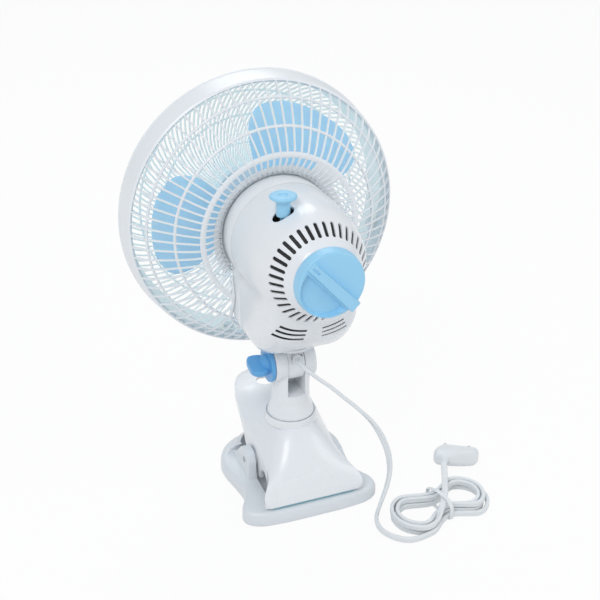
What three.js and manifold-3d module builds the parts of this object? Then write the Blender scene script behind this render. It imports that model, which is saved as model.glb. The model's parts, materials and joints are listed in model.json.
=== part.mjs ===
// A small oscillating clip fan: a 210 mm cage on a motor head, a tilting and swinging neck,
// a column and a spring clamp, with its mains cord and plug. Millimetres, +Z up.
// The origin is on the column's axis at the underside of the lower jaw.
// The fan blows towards -Y, so the motor's knob faces +Y.
import * as THREE from 'three';
import { mergeVertices } from 'three/addons/utils/BufferGeometryUtils.js';
import Module from 'manifold-3d';

const wasm = await Module();
wasm.setup();

// ---------------------------------------------------------------- driving dimensions
const CLEAR = 0.3; // gap between pieces that touch
const TAU = 2 * Math.PI;

// Head, measured from its axis, which runs along Y
const HEAD_Z = 199; // height of the head's axis
const CAGE_R = 105; // outer radius of the cage
const RIBS = 72; // ribs of the rear grille
const FRONT_RIBS = 20; // ribs of the front grille
const RIB_WIDTH = 1.5;
const GRILLE_THICK = 2.4;
const RIM_Y = -71.8; // plane where the two grilles meet
const REAR_RINGS = [
  // [radius, y, radial width] of the rear grille's rings, from the housing outwards
  [43.6, -25.5, 3.2],
  [57.8, -17.5, 4.2],
  [75.4, -26.7, 2.2],
  [92.2, -40, 2.0],
];
const REAR_BAND = { r: CAGE_R - 3.5, y: -53 }; // inner edge of the rear grille's solid rim band
const FRONT_RINGS = [
  [26, -97, 4],
  [66, -94.5, 2],
];
const FRONT_BAND = { r: CAGE_R - 6, y: -84.5 };
const BADGE_R = 24; // plain cap in the middle of the front grille
const BAND_WALL = 2.2;

// Motor housing, a keyhole outline: a round shell with a skirt down to the neck
const HOUSING_R = 41.3;
const SEAM_Y = -8; // plane where the front and rear housings meet
const HOUSING_FRONT_Y = -26;
const HOUSING_WALL = 2.2;
const SKIRT_BOTTOM = -75.5; // lowest point of the skirt, from the head's axis
const SKIRT_ANGLE = 0.546; // angle below the horizontal where the skirt leaves the circle
const SKIRT_CORNER = 16;
const SHELL_STATIONS = [
  // [y, shell radius, share of the skirt that is left, lowest point of the skirt]
  [SEAM_Y, HOUSING_R, 1, SKIRT_BOTTOM],
  [14, 41, 1, SKIRT_BOTTOM],
  [27, 40.2, 1, -70],
  [36, 39.2, 1, -62],
  [43, 37.5, 1, -53.5],
  [50, 34.9, 0.35, -44],
  [60, 27.8, 0, -40],
  [66, 23.4, 0, -38],
];
const VENTS = 36;
const VENT_WIDTH = 2.5;
const VENT_LONG = 11.6;
const VENT_AT = { r: 31.3, y: 55 };
const VENT_SLOPE = 0.955; // angle of the shell's shoulder, where the vents are
const LOW_VENTS = [46, 50, 54]; // radii of the curved slots under the knob
const LOW_VENT_ANGLES = [56, 83]; // degrees below the horizontal, on each side

// Speed knob
const KNOB_R = 23.8;
const KNOB_FACE_Y = 74.6;
const KNOB_BAR = { width: 7, height: 4.6, angle: 47 };

// Pull knob for the swing, standing beside the motor's axis
const PULL = { x: 17, y: 31, top: 49, cap: 9.3, stem: 4.8, travel: 6 };

// Blades and motor
const BLADES = 3;
const BLADE_R = 85;
const BLADE_MID_Y = -56;
const BLADE_PITCH = 24; // degrees
const BLADE_THICK = 1.8;
const BLADE_HALF_ANGLE = [
  // [radius, half of the angle that a blade covers, in degrees]
  [14, 27],
  [34, 35],
  [60, 37],
  [76, 33],
  [BLADE_R, 20],
];
const BLADE_TURN = 0;
const SPINNER_Y = [-76.4, -70];
const RIM_CLIP = { inner: FRONT_BAND.r - 1.6, outer: FRONT_BAND.r + 0.6, half: 4, deep: 3.6 };
const RIM_CLIP_ANGLES = [105, 15, 195, 285];
const COLUMN_SCREW = { bottom: 53, seat: 56, top: 74, r: 1.5, head: 4 }; // degrees, the first blade's place
const HUB_R = 17;
const HUB_Y = [-69, -45];
const SHAFT_R = 3;
const SHAFT_Y = [-73.5, 37];
const SPINNER_R = 9;
const STATOR = { side: 52, y: [-4, 14], bore: 14.5 };
const ROTOR_R = 14.2;
const BRACKET_Y = [-16, 24]; // outer faces of the two motor brackets
const BRACKET_THICK = 2;
const BRACKET_LEG = 3; // thickness of the bracket's two legs
const BEARING_R = 7;
const LINK_EYE_R = 3.5; // eye of the link arm round the crank's pin
const GEARBOX = { x: [-9, 24], y: [25, 41], z: [-14, 22] };
const COIL = { inner: 15, outer: 22, deep: 6.5 };
const CRANK = { x: 17, y: 27, arm: 5, angle: 154, z: -56 }; // z is the disc's underside
const LEVER_PIN = [-7.5, 2.5]; // fixed pin on the neck that the crank pulls against

// Neck
const TILT_Z = 105; // height of the tilt axis
const EYE_R = 13.8;
const EYE_HALF = 6.4; // half-width of the tilt bracket's eye
const TURNTABLE_R = 18.5;
const SPIGOT_R = 8;
const BUSHING_R = 11.4;
const BOLT_R = 2.5;
const WING = { disc: 13.5, thick: 3, hub: 7.5, reach: 20, wide: 23, blade: 4.4, turn: 12 };

// Column
const COLUMN_R = 14.3;
const COLUMN_FOOT_Z = 61.6;
const COLUMN_FLARE_R = 18.6;
const EAR_R = 14;
const EAR_HALF = 15.6;
const WINDOW_Z = 81;
const WINDOW_DEPTH_Y = -8.5;

// Clamp
const PIVOT = { y: -2, z: 24 };
const PIN_R = 2;
const LIP_Z = 12; // top of the lower jaw's lip
const PAD_THICK = 1.1;
const JAW_WALL = 2.4;
const EAR_X = [33, 38.4]; // the lower jaw's cheeks, inner and outer face
const CHEEK_R = 11;
const TAB_HOLE = { y: -57, r: 7.4 };
const COLLAR_R = 20.8;
const COLLAR_Z = 63;
const UPPER_STATIONS = [
  // [y, half-width, height of the side edge, height on the centre line, lower edge]
  [52.4, 38.4, 17.4, 18.2, 15.2],
  [49, 39.7, 21.2, 23.5, 15.2],
  [41, 33, 30.4, 36, 15.2],
  [31, 29.8, 33.3, 47.5, 15.2],
  [19, 28.6, 36, 57.6, 14],
  [4, 29, 39.4, 61, 13],
  [-12, 29.6, 42.2, 61, 13],
  [-24, 29.9, 45.4, 59.6, 34],
  [-42, 28.6, 50, 56.8, 45.5],
  [-57, 25.8, 52.6, 56, 48],
  [-70, 20.8, 53, 55.4, 48.8],
  [-81.5, 8, 53, 54.4, 49.6],
];
const SPRING = { radius: 3.8, wire: 1, turns: 5, pitch: 2.6, x: -6.5 };

// Cord: a flat twin cord, its free stretch, its hank and its tail
const CORD = { wide: 4.8, thick: 2.9, round: 1.8 };
const CORD_EXIT = [0, 14.6, 112.4];
const CORD_ROUTE = [
  CORD_EXIT,
  [0, 18.6, 112.3],
  [-3.5, 23, 108.4],
  [-11, 25.2, 101],
  [-20.9, 27, 92.3],
  [-30.7, 29.4, 82.4],
  [-41.7, 32, 71.3],
  [-51.4, 34.6, 60],
  [-57.8, 37, 49],
  [-61.9, 39.6, 38.5],
  [-63.6, 42.6, 28.8],
  [-62.6, 46.6, 20],
  [-58.4, 51.6, 11.4],
  [-51.6, 58, 4.8],
  [-44.6, 66, 2.6],
  [-38.4, 76, 2.6],
  [-36.6, 87, 2.6],
  [-41.4, 98, 2.6],
  [-52, 105.6, 2.6],
];
const HANK = {
  centre: [-88, 80],
  angle: 190, // degrees, the way its long axis points
  half: 20, // from the tie to the middle of an end loop
  inner: 13, // radius of the innermost end loop
  step: 4.1, // sideways step from loop to loop
  layer: 5.3, // height of a layer
  waist: 9, // how far the runs are drawn in at the tie
  spiral: 2, // tracks that a layer spirals through
  steps: 18,
  sides: 6,
};
const HANK_LEAVES = [
  // [along, across, height, share of the turn from on edge to flat] of the way over the waist
  [-15.8, 17.9, 9.6, 0.3],
  [-12, 15.2, 12.2, 0.7],
  [-7.5, 11.6, 13.8, 1],
  [-1.5, 6.2, 13.8, 1],
  [5, -0.4, 13.8, 1],
  [11, -8, 13.8, 1],
  [17, -15.6, 13.4, 1],
];
const TIE = { thick: 0.8, width: 3.2 };
const TIE_OUTLINE = [[-14.8, 0.9], [14.8, 0.9], [14.8, 12.4], [11.4, 15.8], [-3.5, 15.8], [-14.8, 12.2]];
const PLUG = {
  centre: [-125.5, 37.5, 10.7],
  yaw: 238, // degrees, the way its pins point on the floor
  dip: 17, // degrees that the pins point down
  wide: 35.3,
  thick: 13.5,
  depth: 20,
  pin_r: 2,
  pin_length: 19,
  pin_gap: 19,
  boot: 8.5, // how far the cord's entry stands beside the middle
};

// ---------------------------------------------------------------- helpers
const rad = THREE.MathUtils.degToRad;
const lerp = THREE.MathUtils.lerp;

function solid(geometry) {
  const plain = geometry.clone();
  plain.deleteAttribute('normal');
  plain.deleteAttribute('uv');
  const merged = mergeVertices(plain, 1e-4);
  const index = merged.index
    ? merged.index.array
    : Array.from({ length: merged.attributes.position.count }, (_, i) => i);
  const mesh = new wasm.Mesh({
    numProp: 3,
    vertProperties: new Float32Array(merged.attributes.position.array),
    triVerts: new Uint32Array(index),
  });
  return new wasm.Manifold(mesh);
}

function geometryOf(manifold) {
  const mesh = manifold.getMesh();
  const geometry = new THREE.BufferGeometry();
  geometry.setAttribute('position', new THREE.BufferAttribute(mesh.vertProperties, 3));
  geometry.setIndex(new THREE.BufferAttribute(mesh.triVerts, 1));
  const faceted = geometry.toNonIndexed();
  faceted.computeVertexNormals();
  return faceted;
}

// Joins the first list of geometries and cuts the second list from the result.
function build(joined, cuts = []) {
  let body = solid(joined[0]);
  for (const part of joined.slice(1)) {
    body = body.add(solid(part));
  }
  for (const tool of cuts) {
    body = body.subtract(solid(tool));
  }
  return geometryOf(body);
}

// Turns a geometry made along Z so that its length runs along the named axis.
function along(axis, geometry) {
  if (axis === 'x') {
    geometry.rotateY(Math.PI / 2);
  }
  if (axis === 'y') {
    geometry.rotateX(-Math.PI / 2);
  }
  return geometry;
}

// A cylinder or cone from one place to another along an axis, about the point at.
function rod(axis, r0, from, to, at = [0, 0, 0], sides = 32, r1 = r0) {
  const geometry = new THREE.CylinderGeometry(r1, r0, to - from, sides);
  geometry.rotateX(Math.PI / 2);
  geometry.translate(0, 0, (from + to) / 2);
  along(axis, geometry);
  geometry.translate(...at);
  return geometry;
}

function box(x, y, z) {
  const geometry = new THREE.BoxGeometry(x[1] - x[0], y[1] - y[0], z[1] - z[0]);
  geometry.translate((x[0] + x[1]) / 2, (y[0] + y[1]) / 2, (z[0] + z[1]) / 2);
  return geometry;
}

// A closed profile of [radius, height] points turned about an axis.
function turned(axis, profile, sides = 48) {
  const points = profile.map(([r, h]) => new THREE.Vector2(r, h));
  const geometry = new THREE.LatheGeometry(points, sides);
  geometry.rotateX(Math.PI / 2);
  return along(axis, geometry);
}

// A ring of rectangular section about an axis.
function ring(axis, inner, outer, from, to, at = [0, 0, 0], sides = 48) {
  const profile = [[inner, from], [outer, from], [outer, to], [inner, to], [inner, from]];
  const geometry = turned(axis, profile, sides);
  geometry.translate(...at);
  return geometry;
}

// A flat outline raised along Z between two heights.
function slab(points, from, to, hole = null) {
  const shape = new THREE.Shape(points.map(([x, y]) => new THREE.Vector2(x, y)));
  if (hole) {
    shape.holes.push(new THREE.Path(hole.map(([x, y]) => new THREE.Vector2(x, y))));
  }
  const geometry = new THREE.ExtrudeGeometry(shape, { depth: to - from, bevelEnabled: false });
  geometry.translate(0, 0, from);
  return geometry;
}

// A slab whose outline is drawn in Y and Z, between two places along X.
function slabAcross(points, from, to) {
  const geometry = slab(points, from, to);
  geometry.applyMatrix4(new THREE.Matrix4().set(0, 0, 1, 0, 1, 0, 0, 0, 0, 1, 0, 0, 0, 0, 0, 1));
  return geometry;
}

function arc(cx, cy, r, from, to, count) {
  const points = [];
  for (let i = 0; i <= count; i++) {
    const angle = rad(lerp(from, to, i / count));
    points.push([cx + r * Math.cos(angle), cy + r * Math.sin(angle)]);
  }
  return points;
}

function meshFrom(points, faces) {
  const geometry = new THREE.BufferGeometry();
  geometry.setAttribute('position', new THREE.Float32BufferAttribute(points.flat(), 3));
  geometry.setIndex(faces.flat());
  return facingOut(geometry.toNonIndexed());
}

function facingOut(geometry) {
  const p = geometry.attributes.position;
  const a = new THREE.Vector3();
  const b = new THREE.Vector3();
  const c = new THREE.Vector3();
  let volume = 0;
  for (let i = 0; i < p.count; i += 3) {
    a.fromBufferAttribute(p, i);
    b.fromBufferAttribute(p, i + 1);
    c.fromBufferAttribute(p, i + 2);
    volume += a.dot(b.cross(c));
  }
  if (volume < 0) {
    for (let i = 0; i < p.count; i += 3) {
      a.fromBufferAttribute(p, i + 1);
      b.fromBufferAttribute(p, i + 2);
      p.setXYZ(i + 1, b.x, b.y, b.z);
      p.setXYZ(i + 2, a.x, a.y, a.z);
    }
  }
  geometry.computeVertexNormals();
  return geometry;
}

// A closed body through rings of equally many points, with flat fans over its ends.
function loft(rings) {
  const count = rings[0].length;
  const points = rings.flat();
  const faces = [];
  for (let k = 0; k + 1 < rings.length; k++) {
    for (let i = 0; i < count; i++) {
      const j = (i + 1) % count;
      const low = k * count;
      const high = low + count;
      faces.push([low + i, low + j, high + j], [low + i, high + j, high + i]);
    }
  }
  for (const [start, turn] of [[0, 1], [(rings.length - 1) * count, 0]]) {
    const end = rings[start ? rings.length - 1 : 0];
    const middle = [0, 1, 2].map((n) => end.reduce((sum, p) => sum + p[n], 0) / count);
    points.push(middle);
    for (let i = 0; i < count; i++) {
      const j = (i + 1) % count;
      const fan = turn ? [start + j, start + i] : [start + i, start + j];
      faces.push([...fan, points.length - 1]);
    }
  }
  return meshFrom(points, faces);
}

// ---------------------------------------------------------------- scene graph
const fan = new THREE.Group();
const head = new THREE.Group();
head.position.set(0, 0, HEAD_Z);
const neck = new THREE.Group();
neck.position.set(0, 0, TILT_Z);
fan.add(head, neck);

const paint = {
  shell: { color: 0xe9eef2, roughness: 0.32, metalness: 0 },
  grille: { color: 0xeef2f6, roughness: 0.35, metalness: 0 },
  base: { color: 0xdde4e9, roughness: 0.38, metalness: 0 },
  blue: { color: 0x8fc9ec, roughness: 0.35, metalness: 0 },
  deep: { color: 0x5aa4dc, roughness: 0.35, metalness: 0 },
  blade: { color: 0x8ccbf0, roughness: 0.25, metalness: 0 },
  teal: { color: 0x8fc4cf, roughness: 0.8, metalness: 0 },
  steel: { color: 0xb9bdc2, roughness: 0.35, metalness: 1 },
  copper: { color: 0xb06a3a, roughness: 0.4, metalness: 1 },
  brass: { color: 0xc8a458, roughness: 0.4, metalness: 1 },
  dark: { color: 0x2a2c2f, roughness: 0.6, metalness: 0 },
  cord: { color: 0xe8ecee, roughness: 0.45, metalness: 0 },
};

function piece(group, name, geometry, look) {
  const mesh = new THREE.Mesh(geometry, new THREE.MeshStandardMaterial(paint[look]));
  mesh.name = name;
  group.add(mesh);
  return mesh;
}

// ---------------------------------------------------------------- grilles
// A net of ribs and rings turned about the head's axis. Each row is an edge across the ribs:
// its outer and inner point as [radius, y], and whether the net is open up to the next row.
// Ribs and rings are flat outside and come to a ridge inside, so their section is a triangle:
// a ring's second row shares the inner edge of its first.
function net(rows, ribs) {
  const points = [];
  const faces = [];
  const corner = (row, rib, n) => {
    const edge = n === 2 && rows[row].ridge ? row - 1 : row;
    return (edge * ribs + (rib % ribs)) * 3 + n;
  };
  for (const { outer, inner } of rows) {
    const half = Math.asin(RIB_WIDTH / 2 / outer[0]);
    for (let rib = 0; rib < ribs; rib++) {
      for (const [[r, y], swing] of [[outer, -half], [outer, half], [inner, 0]]) {
        const angle = (rib * TAU) / ribs + swing;
        points.push([r * Math.cos(angle), y, r * Math.sin(angle)]);
      }
    }
  }
  const quad = (a, b, c, d) => faces.push([a, b, c], [a, c, d]);
  const last = rows.length - 1;
  const open = (row) => row < 0 || row >= last || rows[row].open;
  for (let rib = 0; rib < ribs; rib++) {
    const at = (row, n) => corner(row, n < 3 ? rib : rib + 1, n % 3);
    // 0 and 1 are this rib's outer edges, 2 its inner edge; 3 and 5 belong to the next rib.
    for (let row = 0; row < last; row++) {
      quad(at(row, 0), at(row, 1), at(row + 1, 1), at(row + 1, 0));
      if (open(row)) {
        quad(at(row, 1), at(row, 2), at(row + 1, 2), at(row + 1, 1));
        quad(at(row, 5), at(row, 3), at(row + 1, 3), at(row + 1, 5));
      } else {
        quad(at(row, 1), at(row, 3), at(row + 1, 3), at(row + 1, 1));
        if (!rows[row + 1].ridge) {
          quad(at(row, 2), at(row + 1, 2), at(row + 1, 5), at(row, 5));
        }
      }
    }
    for (let row = 0; row <= last; row++) {
      if (!open(row) && open(row - 1)) {
        quad(at(row, 1), at(row, 2), at(row, 5), at(row, 3));
      }
      if (open(row) && !open(row - 1)) {
        quad(at(row, 1), at(row, 3), at(row, 5), at(row, 2));
      }
    }
    faces.push([at(0, 0), at(0, 2), at(0, 1)], [at(last, 0), at(last, 1), at(last, 2)]);
  }
  return meshFrom(points, faces);
}

function ringRows(rings, thick) {
  const rows = [];
  for (const [r, y, width] of rings) {
    const inner = [r, y + thick];
    rows.push({ outer: [r - width / 2, y], inner, open: false });
    rows.push({ outer: [r + width / 2, y], inner, open: true, ridge: true });
  }
  return rows;
}

// The outline of the housing at a radius, as [x, z] points: a circle over a squarer skirt.
// Its corners lie at whole tens of degrees, so each vent falls between two of them.
function keyhole(radius, share, bottom) {
  const low = -THREE.MathUtils.radToDeg(SKIRT_ANGLE);
  const upper = [low, -20, 0, 20, 40, 60, 80, 100, 120, 140, 160, 180, 200, 180 - low];
  const lower = [220, 230, 240, 250, 260, 270, 280, 290, 300, 310, 320];
  const onCircle = (degrees) => [radius * Math.cos(rad(degrees)), radius * Math.sin(rad(degrees))];
  const half = radius * Math.cos(SKIRT_ANGLE);
  const corner = SKIRT_CORNER;
  const skirt = [
    ...arc(-half + corner, bottom + corner, corner, 180, 270, 4),
    [0, bottom],
    ...arc(half - corner, bottom + corner, corner, 270, 360, 4),
  ];
  return [
    ...upper.map(onCircle),
    ...lower.map((degrees, i) => {
      const [x, z] = onCircle(degrees);
      return [lerp(x, skirt[i][0], share), lerp(z, skirt[i][1], share)];
    }),
  ];
}

function shellRings(stations, inset) {
  return stations.map(([y, radius, share, bottom]) =>
    keyhole(radius - inset, share, bottom + inset).map(([x, z]) => [x, y, z])
  );
}

function skirtTool(from, to, grow) {
  return loft(
    [from, to].map((y) =>
      keyhole(HOUSING_R + grow, 1, SKIRT_BOTTOM - grow).map(([x, z]) => [x, y, z])
    )
  );
}

function rearGrille() {
  const rows = ringRows(REAR_RINGS, -GRILLE_THICK);
  const { r, y } = REAR_BAND;
  rows.push({ outer: [r, y], inner: [r - BAND_WALL, y - GRILLE_THICK], open: false });
  rows.push({
    outer: [CAGE_R, RIM_Y + CLEAR],
    inner: [CAGE_R - BAND_WALL, RIM_Y + CLEAR],
    open: true,
  });
  const edging = 2.6;
  const frame = build(
    [skirtTool(-34, -14, edging)],
    [
      skirtTool(-40, -10, CLEAR),
      box([-60, 60], [-50, 0], [-30, 60]),
      coneBelow(CLEAR),
      coneAbove(),
    ]
  );
  return build([net(rows, RIBS), frame], [skirtTool(-60, 0, CLEAR)]);
}

// The space on the rear side of the grille's surface, and that on its blade side.
function coneBelow(gap) {
  const line = REAR_RINGS.map(([r, y]) => [r, y + gap]);
  const [r, y] = [REAR_BAND.r, REAR_BAND.y];
  return turned('y', [[0, 10], [0, line[0][1]], ...line, [r, y], [r, 10], [0, 10]], 36);
}

function coneAbove() {
  const line = REAR_RINGS.map(([r, y]) => [r, y - GRILLE_THICK]);
  const [r, y] = [REAR_BAND.r, REAR_BAND.y];
  return turned('y', [[0, -90], [r, -90], [r, y - GRILLE_THICK], ...line.reverse(),
    [0, REAR_RINGS[0][1] - GRILLE_THICK], [0, -90]], 36);
}

function frontGrille() {
  const rows = ringRows(FRONT_RINGS, GRILLE_THICK);
  const { r, y } = FRONT_BAND;
  rows.push({ outer: [r, y], inner: [r - BAND_WALL, y + GRILLE_THICK], open: false });
  rows.push({
    outer: [CAGE_R, RIM_Y - CLEAR],
    inner: [CAGE_R - BAND_WALL, RIM_Y - CLEAR],
    open: true,
  });
  return net(rows, FRONT_RIBS);
}

function badge() {
  const [r, y, width] = FRONT_RINGS[0];
  const inner = r - width / 2 - CLEAR;
  return turned('y', [
    [0, y - 2.2],
    [BADGE_R - 8, y - 1.8],
    [BADGE_R, y - CLEAR],
    [inner, y - CLEAR],
    [inner, y + 1.6],
    [0, y + 1.6],
  ], 24);
}

// Four small clips that hold the two grilles together at the rim.
function rimClips() {
  const clips = [];
  const { inner, outer, half, deep } = RIM_CLIP;
  for (const angle of RIM_CLIP_ANGLES) {
    const clip = box([inner, outer], [RIM_Y - deep, RIM_Y + deep], [-half, half]);
    clip.rotateY(-rad(angle));
    clips.push(clip);
  }
  return clips;
}

// ---------------------------------------------------------------- housing
function vents() {
  const tools = [];
  for (let i = 0; i < VENTS; i++) {
    const slot = box([-VENT_LONG / 2, VENT_LONG / 2], [-4, 4], [-VENT_WIDTH / 2, VENT_WIDTH / 2]);
    slot.rotateZ(-VENT_SLOPE);
    slot.translate(VENT_AT.r, VENT_AT.y, 0);
    slot.rotateY(-(i + 0.5) * (TAU / VENTS));
    tools.push(slot);
  }
  const [from, to] = LOW_VENT_ANGLES;
  for (const r of LOW_VENTS) {
    for (const [a, b] of [[-from, -to], [from - 180, to - 180]]) {
      const outline = [...arc(0, 0, r + 1, a, b, 3), ...arc(0, 0, r - 1, b, a, 3)];
      const slot = slab(outline, -60, -30);
      slot.rotateX(Math.PI / 2);
      tools.push(slot);
    }
  }
  return tools;
}

function pullSlot() {
  const long = 7.4;
  const wide = PULL.stem + 0.8;
  const outline = [
    ...arc(long - wide, 0, wide, -90, 90, 6),
    ...arc(wide - long, 0, wide, 90, 270, 6),
  ];
  const tool = slab(outline, 20, 60);
  tool.translate(PULL.x, PULL.y, 0);
  return tool;
}

function rearHousing() {
  const outer = loft(shellRings(SHELL_STATIONS, 0));
  const inside = SHELL_STATIONS.map(([y, ...rest]) => [y < 45 ? y : y - 1, ...rest]);
  inside[0][0] -= 1;
  const inner = loft(shellRings(inside, HOUSING_WALL));
  return build(
    [outer],
    [
      inner,
      ...vents(),
      pullSlot(),
      rod('y', 4, 50, 80, [0, 0, 0], 20),
      rod('z', SPIGOT_R + CLEAR, SKIRT_BOTTOM - 5, SKIRT_BOTTOM + 5, [0, 0, 0], 20),
    ]
  );
}

function frontHousing() {
  const seam = SEAM_Y - CLEAR;
  const outer = skirtTool(HOUSING_FRONT_Y, seam, 0);
  const inner = skirtTool(HOUSING_FRONT_Y + HOUSING_WALL, seam + 1, -HOUSING_WALL);
  return build(
    [outer],
    [
      inner,
      rod('y', 9, HOUSING_FRONT_Y - 1, HOUSING_FRONT_Y + 5, [0, 0, 0], 16),
      rod('z', SPIGOT_R + CLEAR, SKIRT_BOTTOM - 5, SKIRT_BOTTOM + 5, [0, 0, 0], 20),
    ]
  );
}

// ---------------------------------------------------------------- knobs
function speedKnob() {
  const base = 66 + CLEAR;
  const side = [[0, base], [KNOB_R, base], [KNOB_R, base + 2], [KNOB_R - 0.9, KNOB_FACE_Y - 1],
    [KNOB_R - 2, KNOB_FACE_Y], [0, KNOB_FACE_Y]];
  const { width, height, angle } = KNOB_BAR;
  const bar = slab(
    [[-KNOB_R + 1, -width / 2], [KNOB_R - 1, -width / 2 + 1], [KNOB_R - 1, width / 2 - 1],
      [-KNOB_R + 1, width / 2]],
    base + 2, KNOB_FACE_Y + height
  );
  bar.rotateX(-Math.PI / 2);
  bar.rotateY(-rad(angle));
  const scoop = rod('y', 15, KNOB_FACE_Y - 3.4, KNOB_FACE_Y + 1, [0, 0, 0], 24, 17);
  scoop.translate(9.6 * Math.sin(rad(angle)), 0, -9.6 * Math.cos(rad(angle)));
  const dish = build([turned('y', side, 26)], [scoop]);
  return build([dish, bar, rod('y', 3.6, 58, base + 1, [0, 0, 0], 20)], [
    rod('y', 2.4, 56, 64, [0, 0, 0], 16),
  ]);
}

function rotarySwitch() {
  return build([
    box([-12, 12], [47, 56], [-9, 9]),
    rod('y', 2.1, 55, 63.6, [0, 0, 0], 16),
  ]);
}

function pullKnob() {
  const { x, y, top, cap, stem } = PULL;
  return build([
    turned('z', [[0, 24.6], [2.2, 24.6], [2.2, 34], [stem, 34], [stem, top - 5.4], [cap, top - 2.6],
      [cap, top - 0.6], [cap - 1, top], [3, top], [2.2, top - 1.4], [0, top - 1.4]], 18),
  ].map((geometry) => geometry.translate(x, y, 0)));
}

// ---------------------------------------------------------------- blades and motor
function blade(turn) {
  const across = 4;
  const grid = BLADE_HALF_ANGLE.map(([r, half]) => {
    const row = [];
    for (let i = 0; i <= across; i++) {
      const swing = rad(lerp(-half, half, i / across));
      const lift = Math.sin(swing) * r * Math.tan(rad(BLADE_PITCH)) * (30 / (r + 8));
      const angle = swing + rad(turn);
      row.push([r * Math.cos(angle), BLADE_MID_Y + lift, r * Math.sin(angle)]);
    }
    return row;
  });
  const rings = grid.map((row) => {
    const back = row.map(([x, y, z]) => [x, y + BLADE_THICK / 2, z]);
    const front = row.map(([x, y, z]) => [x, y - BLADE_THICK / 2, z]).reverse();
    return [...back, ...front];
  });
  return loft(rings);
}

function fanBlade() {
  const hub = turned('y', [[SHAFT_R + 0.3, HUB_Y[0]], [HUB_R - 4, HUB_Y[0]], [HUB_R - 0.8, HUB_Y[0] + 2.6],
    [HUB_R, HUB_Y[1]], [SHAFT_R + 0.3, HUB_Y[1]], [SHAFT_R + 0.3, HUB_Y[0]]], 20);
  const blades = [];
  for (let i = 0; i < BLADES; i++) {
    blades.push(blade(BLADE_TURN + (i * 360) / BLADES));
  }
  const bore = rod('y', SHAFT_R + 0.3, HUB_Y[0] - 1, HUB_Y[1] + 1, [0, 0, 0], 20);
  return build([hub, ...blades], [bore]);
}

function stator() {
  const { side, y, bore } = STATOR;
  const half = side / 2;
  const cut = 9;
  const outline = [[half - cut, -half], [half, cut - half], [half, half - cut], [half - cut, half],
    [cut - half, half], [-half, half - cut], [-half, cut - half], [cut - half, -half]];
  const hole = arc(0, 0, bore, 0, 348.75, 31);
  const plate = slab(outline, -y[1], -y[0], hole);
  plate.rotateX(Math.PI / 2);
  return plate;
}

// The nut that holds the blades, blind at its front.
function spinnerNut() {
  const [front, rear] = SPINNER_Y;
  return build(
    [rod('y', SPINNER_R, front, rear, [0, 0, 0], 18, SPINNER_R - 1)],
    [rod('y', SHAFT_R + CLEAR, SHAFT_Y[0] - 0.4, rear + 1, [0, 0, 0], 12)]
  );
}

// The screw that holds the column on the clamp's base.
function columnScrew() {
  const { bottom, seat, top, r, head: wide } = COLUMN_SCREW;
  return build([
    rod('z', r, bottom + 1, top, [0, 0, 0], 8),
    rod('z', wide, bottom, seat - CLEAR, [0, 0, 0], 10),
  ]);
}

// An end bracket of the motor: a plate with a bearing seat and two legs down to the core.
function motorBracket(face, inner, core) {
  const plate = [Math.min(face, inner), Math.max(face, inner)];
  const leg = core < face ? [core, inner + 0.5] : [inner - 0.5, core];
  const half = STATOR.side / 2;
  return build(
    [
      box([-half, half], plate, [-11, 11]),
      box([-half, BRACKET_LEG - half], leg, [-8, 8]),
      box([half - BRACKET_LEG, half], leg, [-8, 8]),
    ],
    [rod('y', BEARING_R + CLEAR, plate[0] - 1, plate[1] + 1, [0, 0, 0], 24)]
  );
}

function bearing(centre) {
  return ring('y', SHAFT_R + CLEAR, BEARING_R, centre - 1.5, centre + 1.5, [0, 0, 0], 14);
}

function gearbox() {
  const { x, y, z } = GEARBOX;
  return build([box(x, y, z)], [
    rod('y', SHAFT_R + CLEAR, y[0] - 1, SHAFT_Y[1] + 1, [0, 0, 0], 16),
    rod('z', 2.2 + CLEAR, z[1] - PULL.travel - 1, z[1] + 1, [PULL.x, PULL.y, 0], 16),
  ]);
}

// The crank that swings the head: a shaft from the gearbox, a disc and an offset pin.
function crank() {
  const { x, y, arm, angle, z } = CRANK;
  const pin = [x + arm * Math.cos(rad(angle)), y + arm * Math.sin(rad(angle)), 0];
  return build([
    rod('z', 2.6, z + 1, GEARBOX.z[0] - CLEAR, [x, y, 0], 12),
    rod('z', arm + 2.4, z, z + 2, [x, y, 0], 16),
    rod('z', 1.5, z - 4.4, z + 0.5, pin, 12),
  ]);
}

function linkArm() {
  const { x, y, arm, angle, z } = CRANK;
  const far = [x + arm * Math.cos(rad(angle)), y + arm * Math.sin(rad(angle)), 0];
  const near = [LEVER_PIN[0], LEVER_PIN[1], 0];
  const length = Math.hypot(far[0] - near[0], far[1] - near[1]);
  const bar = box([0, length], [-1.8, 1.8], [z - 3.8, z - 2.4]);
  bar.rotateZ(Math.atan2(far[1] - near[1], far[0] - near[0]));
  bar.translate(...near);
  return build(
    [bar, rod('z', 3.4, z - 3.8, z - 2.4, near, 12), rod('z', LINK_EYE_R, z - 3.8, z - 2.4, far, 12)],
    [rod('z', 1.5 + CLEAR, z - 6, z, near, 10), rod('z', 1.5 + 3 * CLEAR, z - 6, z, far, 10)]
  );
}

// ---------------------------------------------------------------- neck and column
function tiltBracket() {
  const under = 14.6;
  const table = 17.7;
  return build(
    [
      rod('x', EYE_R, -EYE_HALF, EYE_HALF, [0, 0, 0], 24),
      box([-EYE_HALF, EYE_HALF], [-9.5, 9.5], [8, under + 1]),
      rod('z', TURNTABLE_R - 1.4, under, under + 1.2, [0, 0, 0], 24, TURNTABLE_R),
      rod('z', TURNTABLE_R, under + 1.2, table, [0, 0, 0], 24),
      rod('z', SPIGOT_R, table - 1, HEAD_Z - TILT_Z - 62.2, [0, 0, 0], 20),
    ],
    [
      rod('x', BOLT_R + CLEAR, -20, 20, [0, 0, 0], 20),
      rod('y', 3.5, 0, 20, [0, 0, 7.4], 16),
    ]
  );
}

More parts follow.
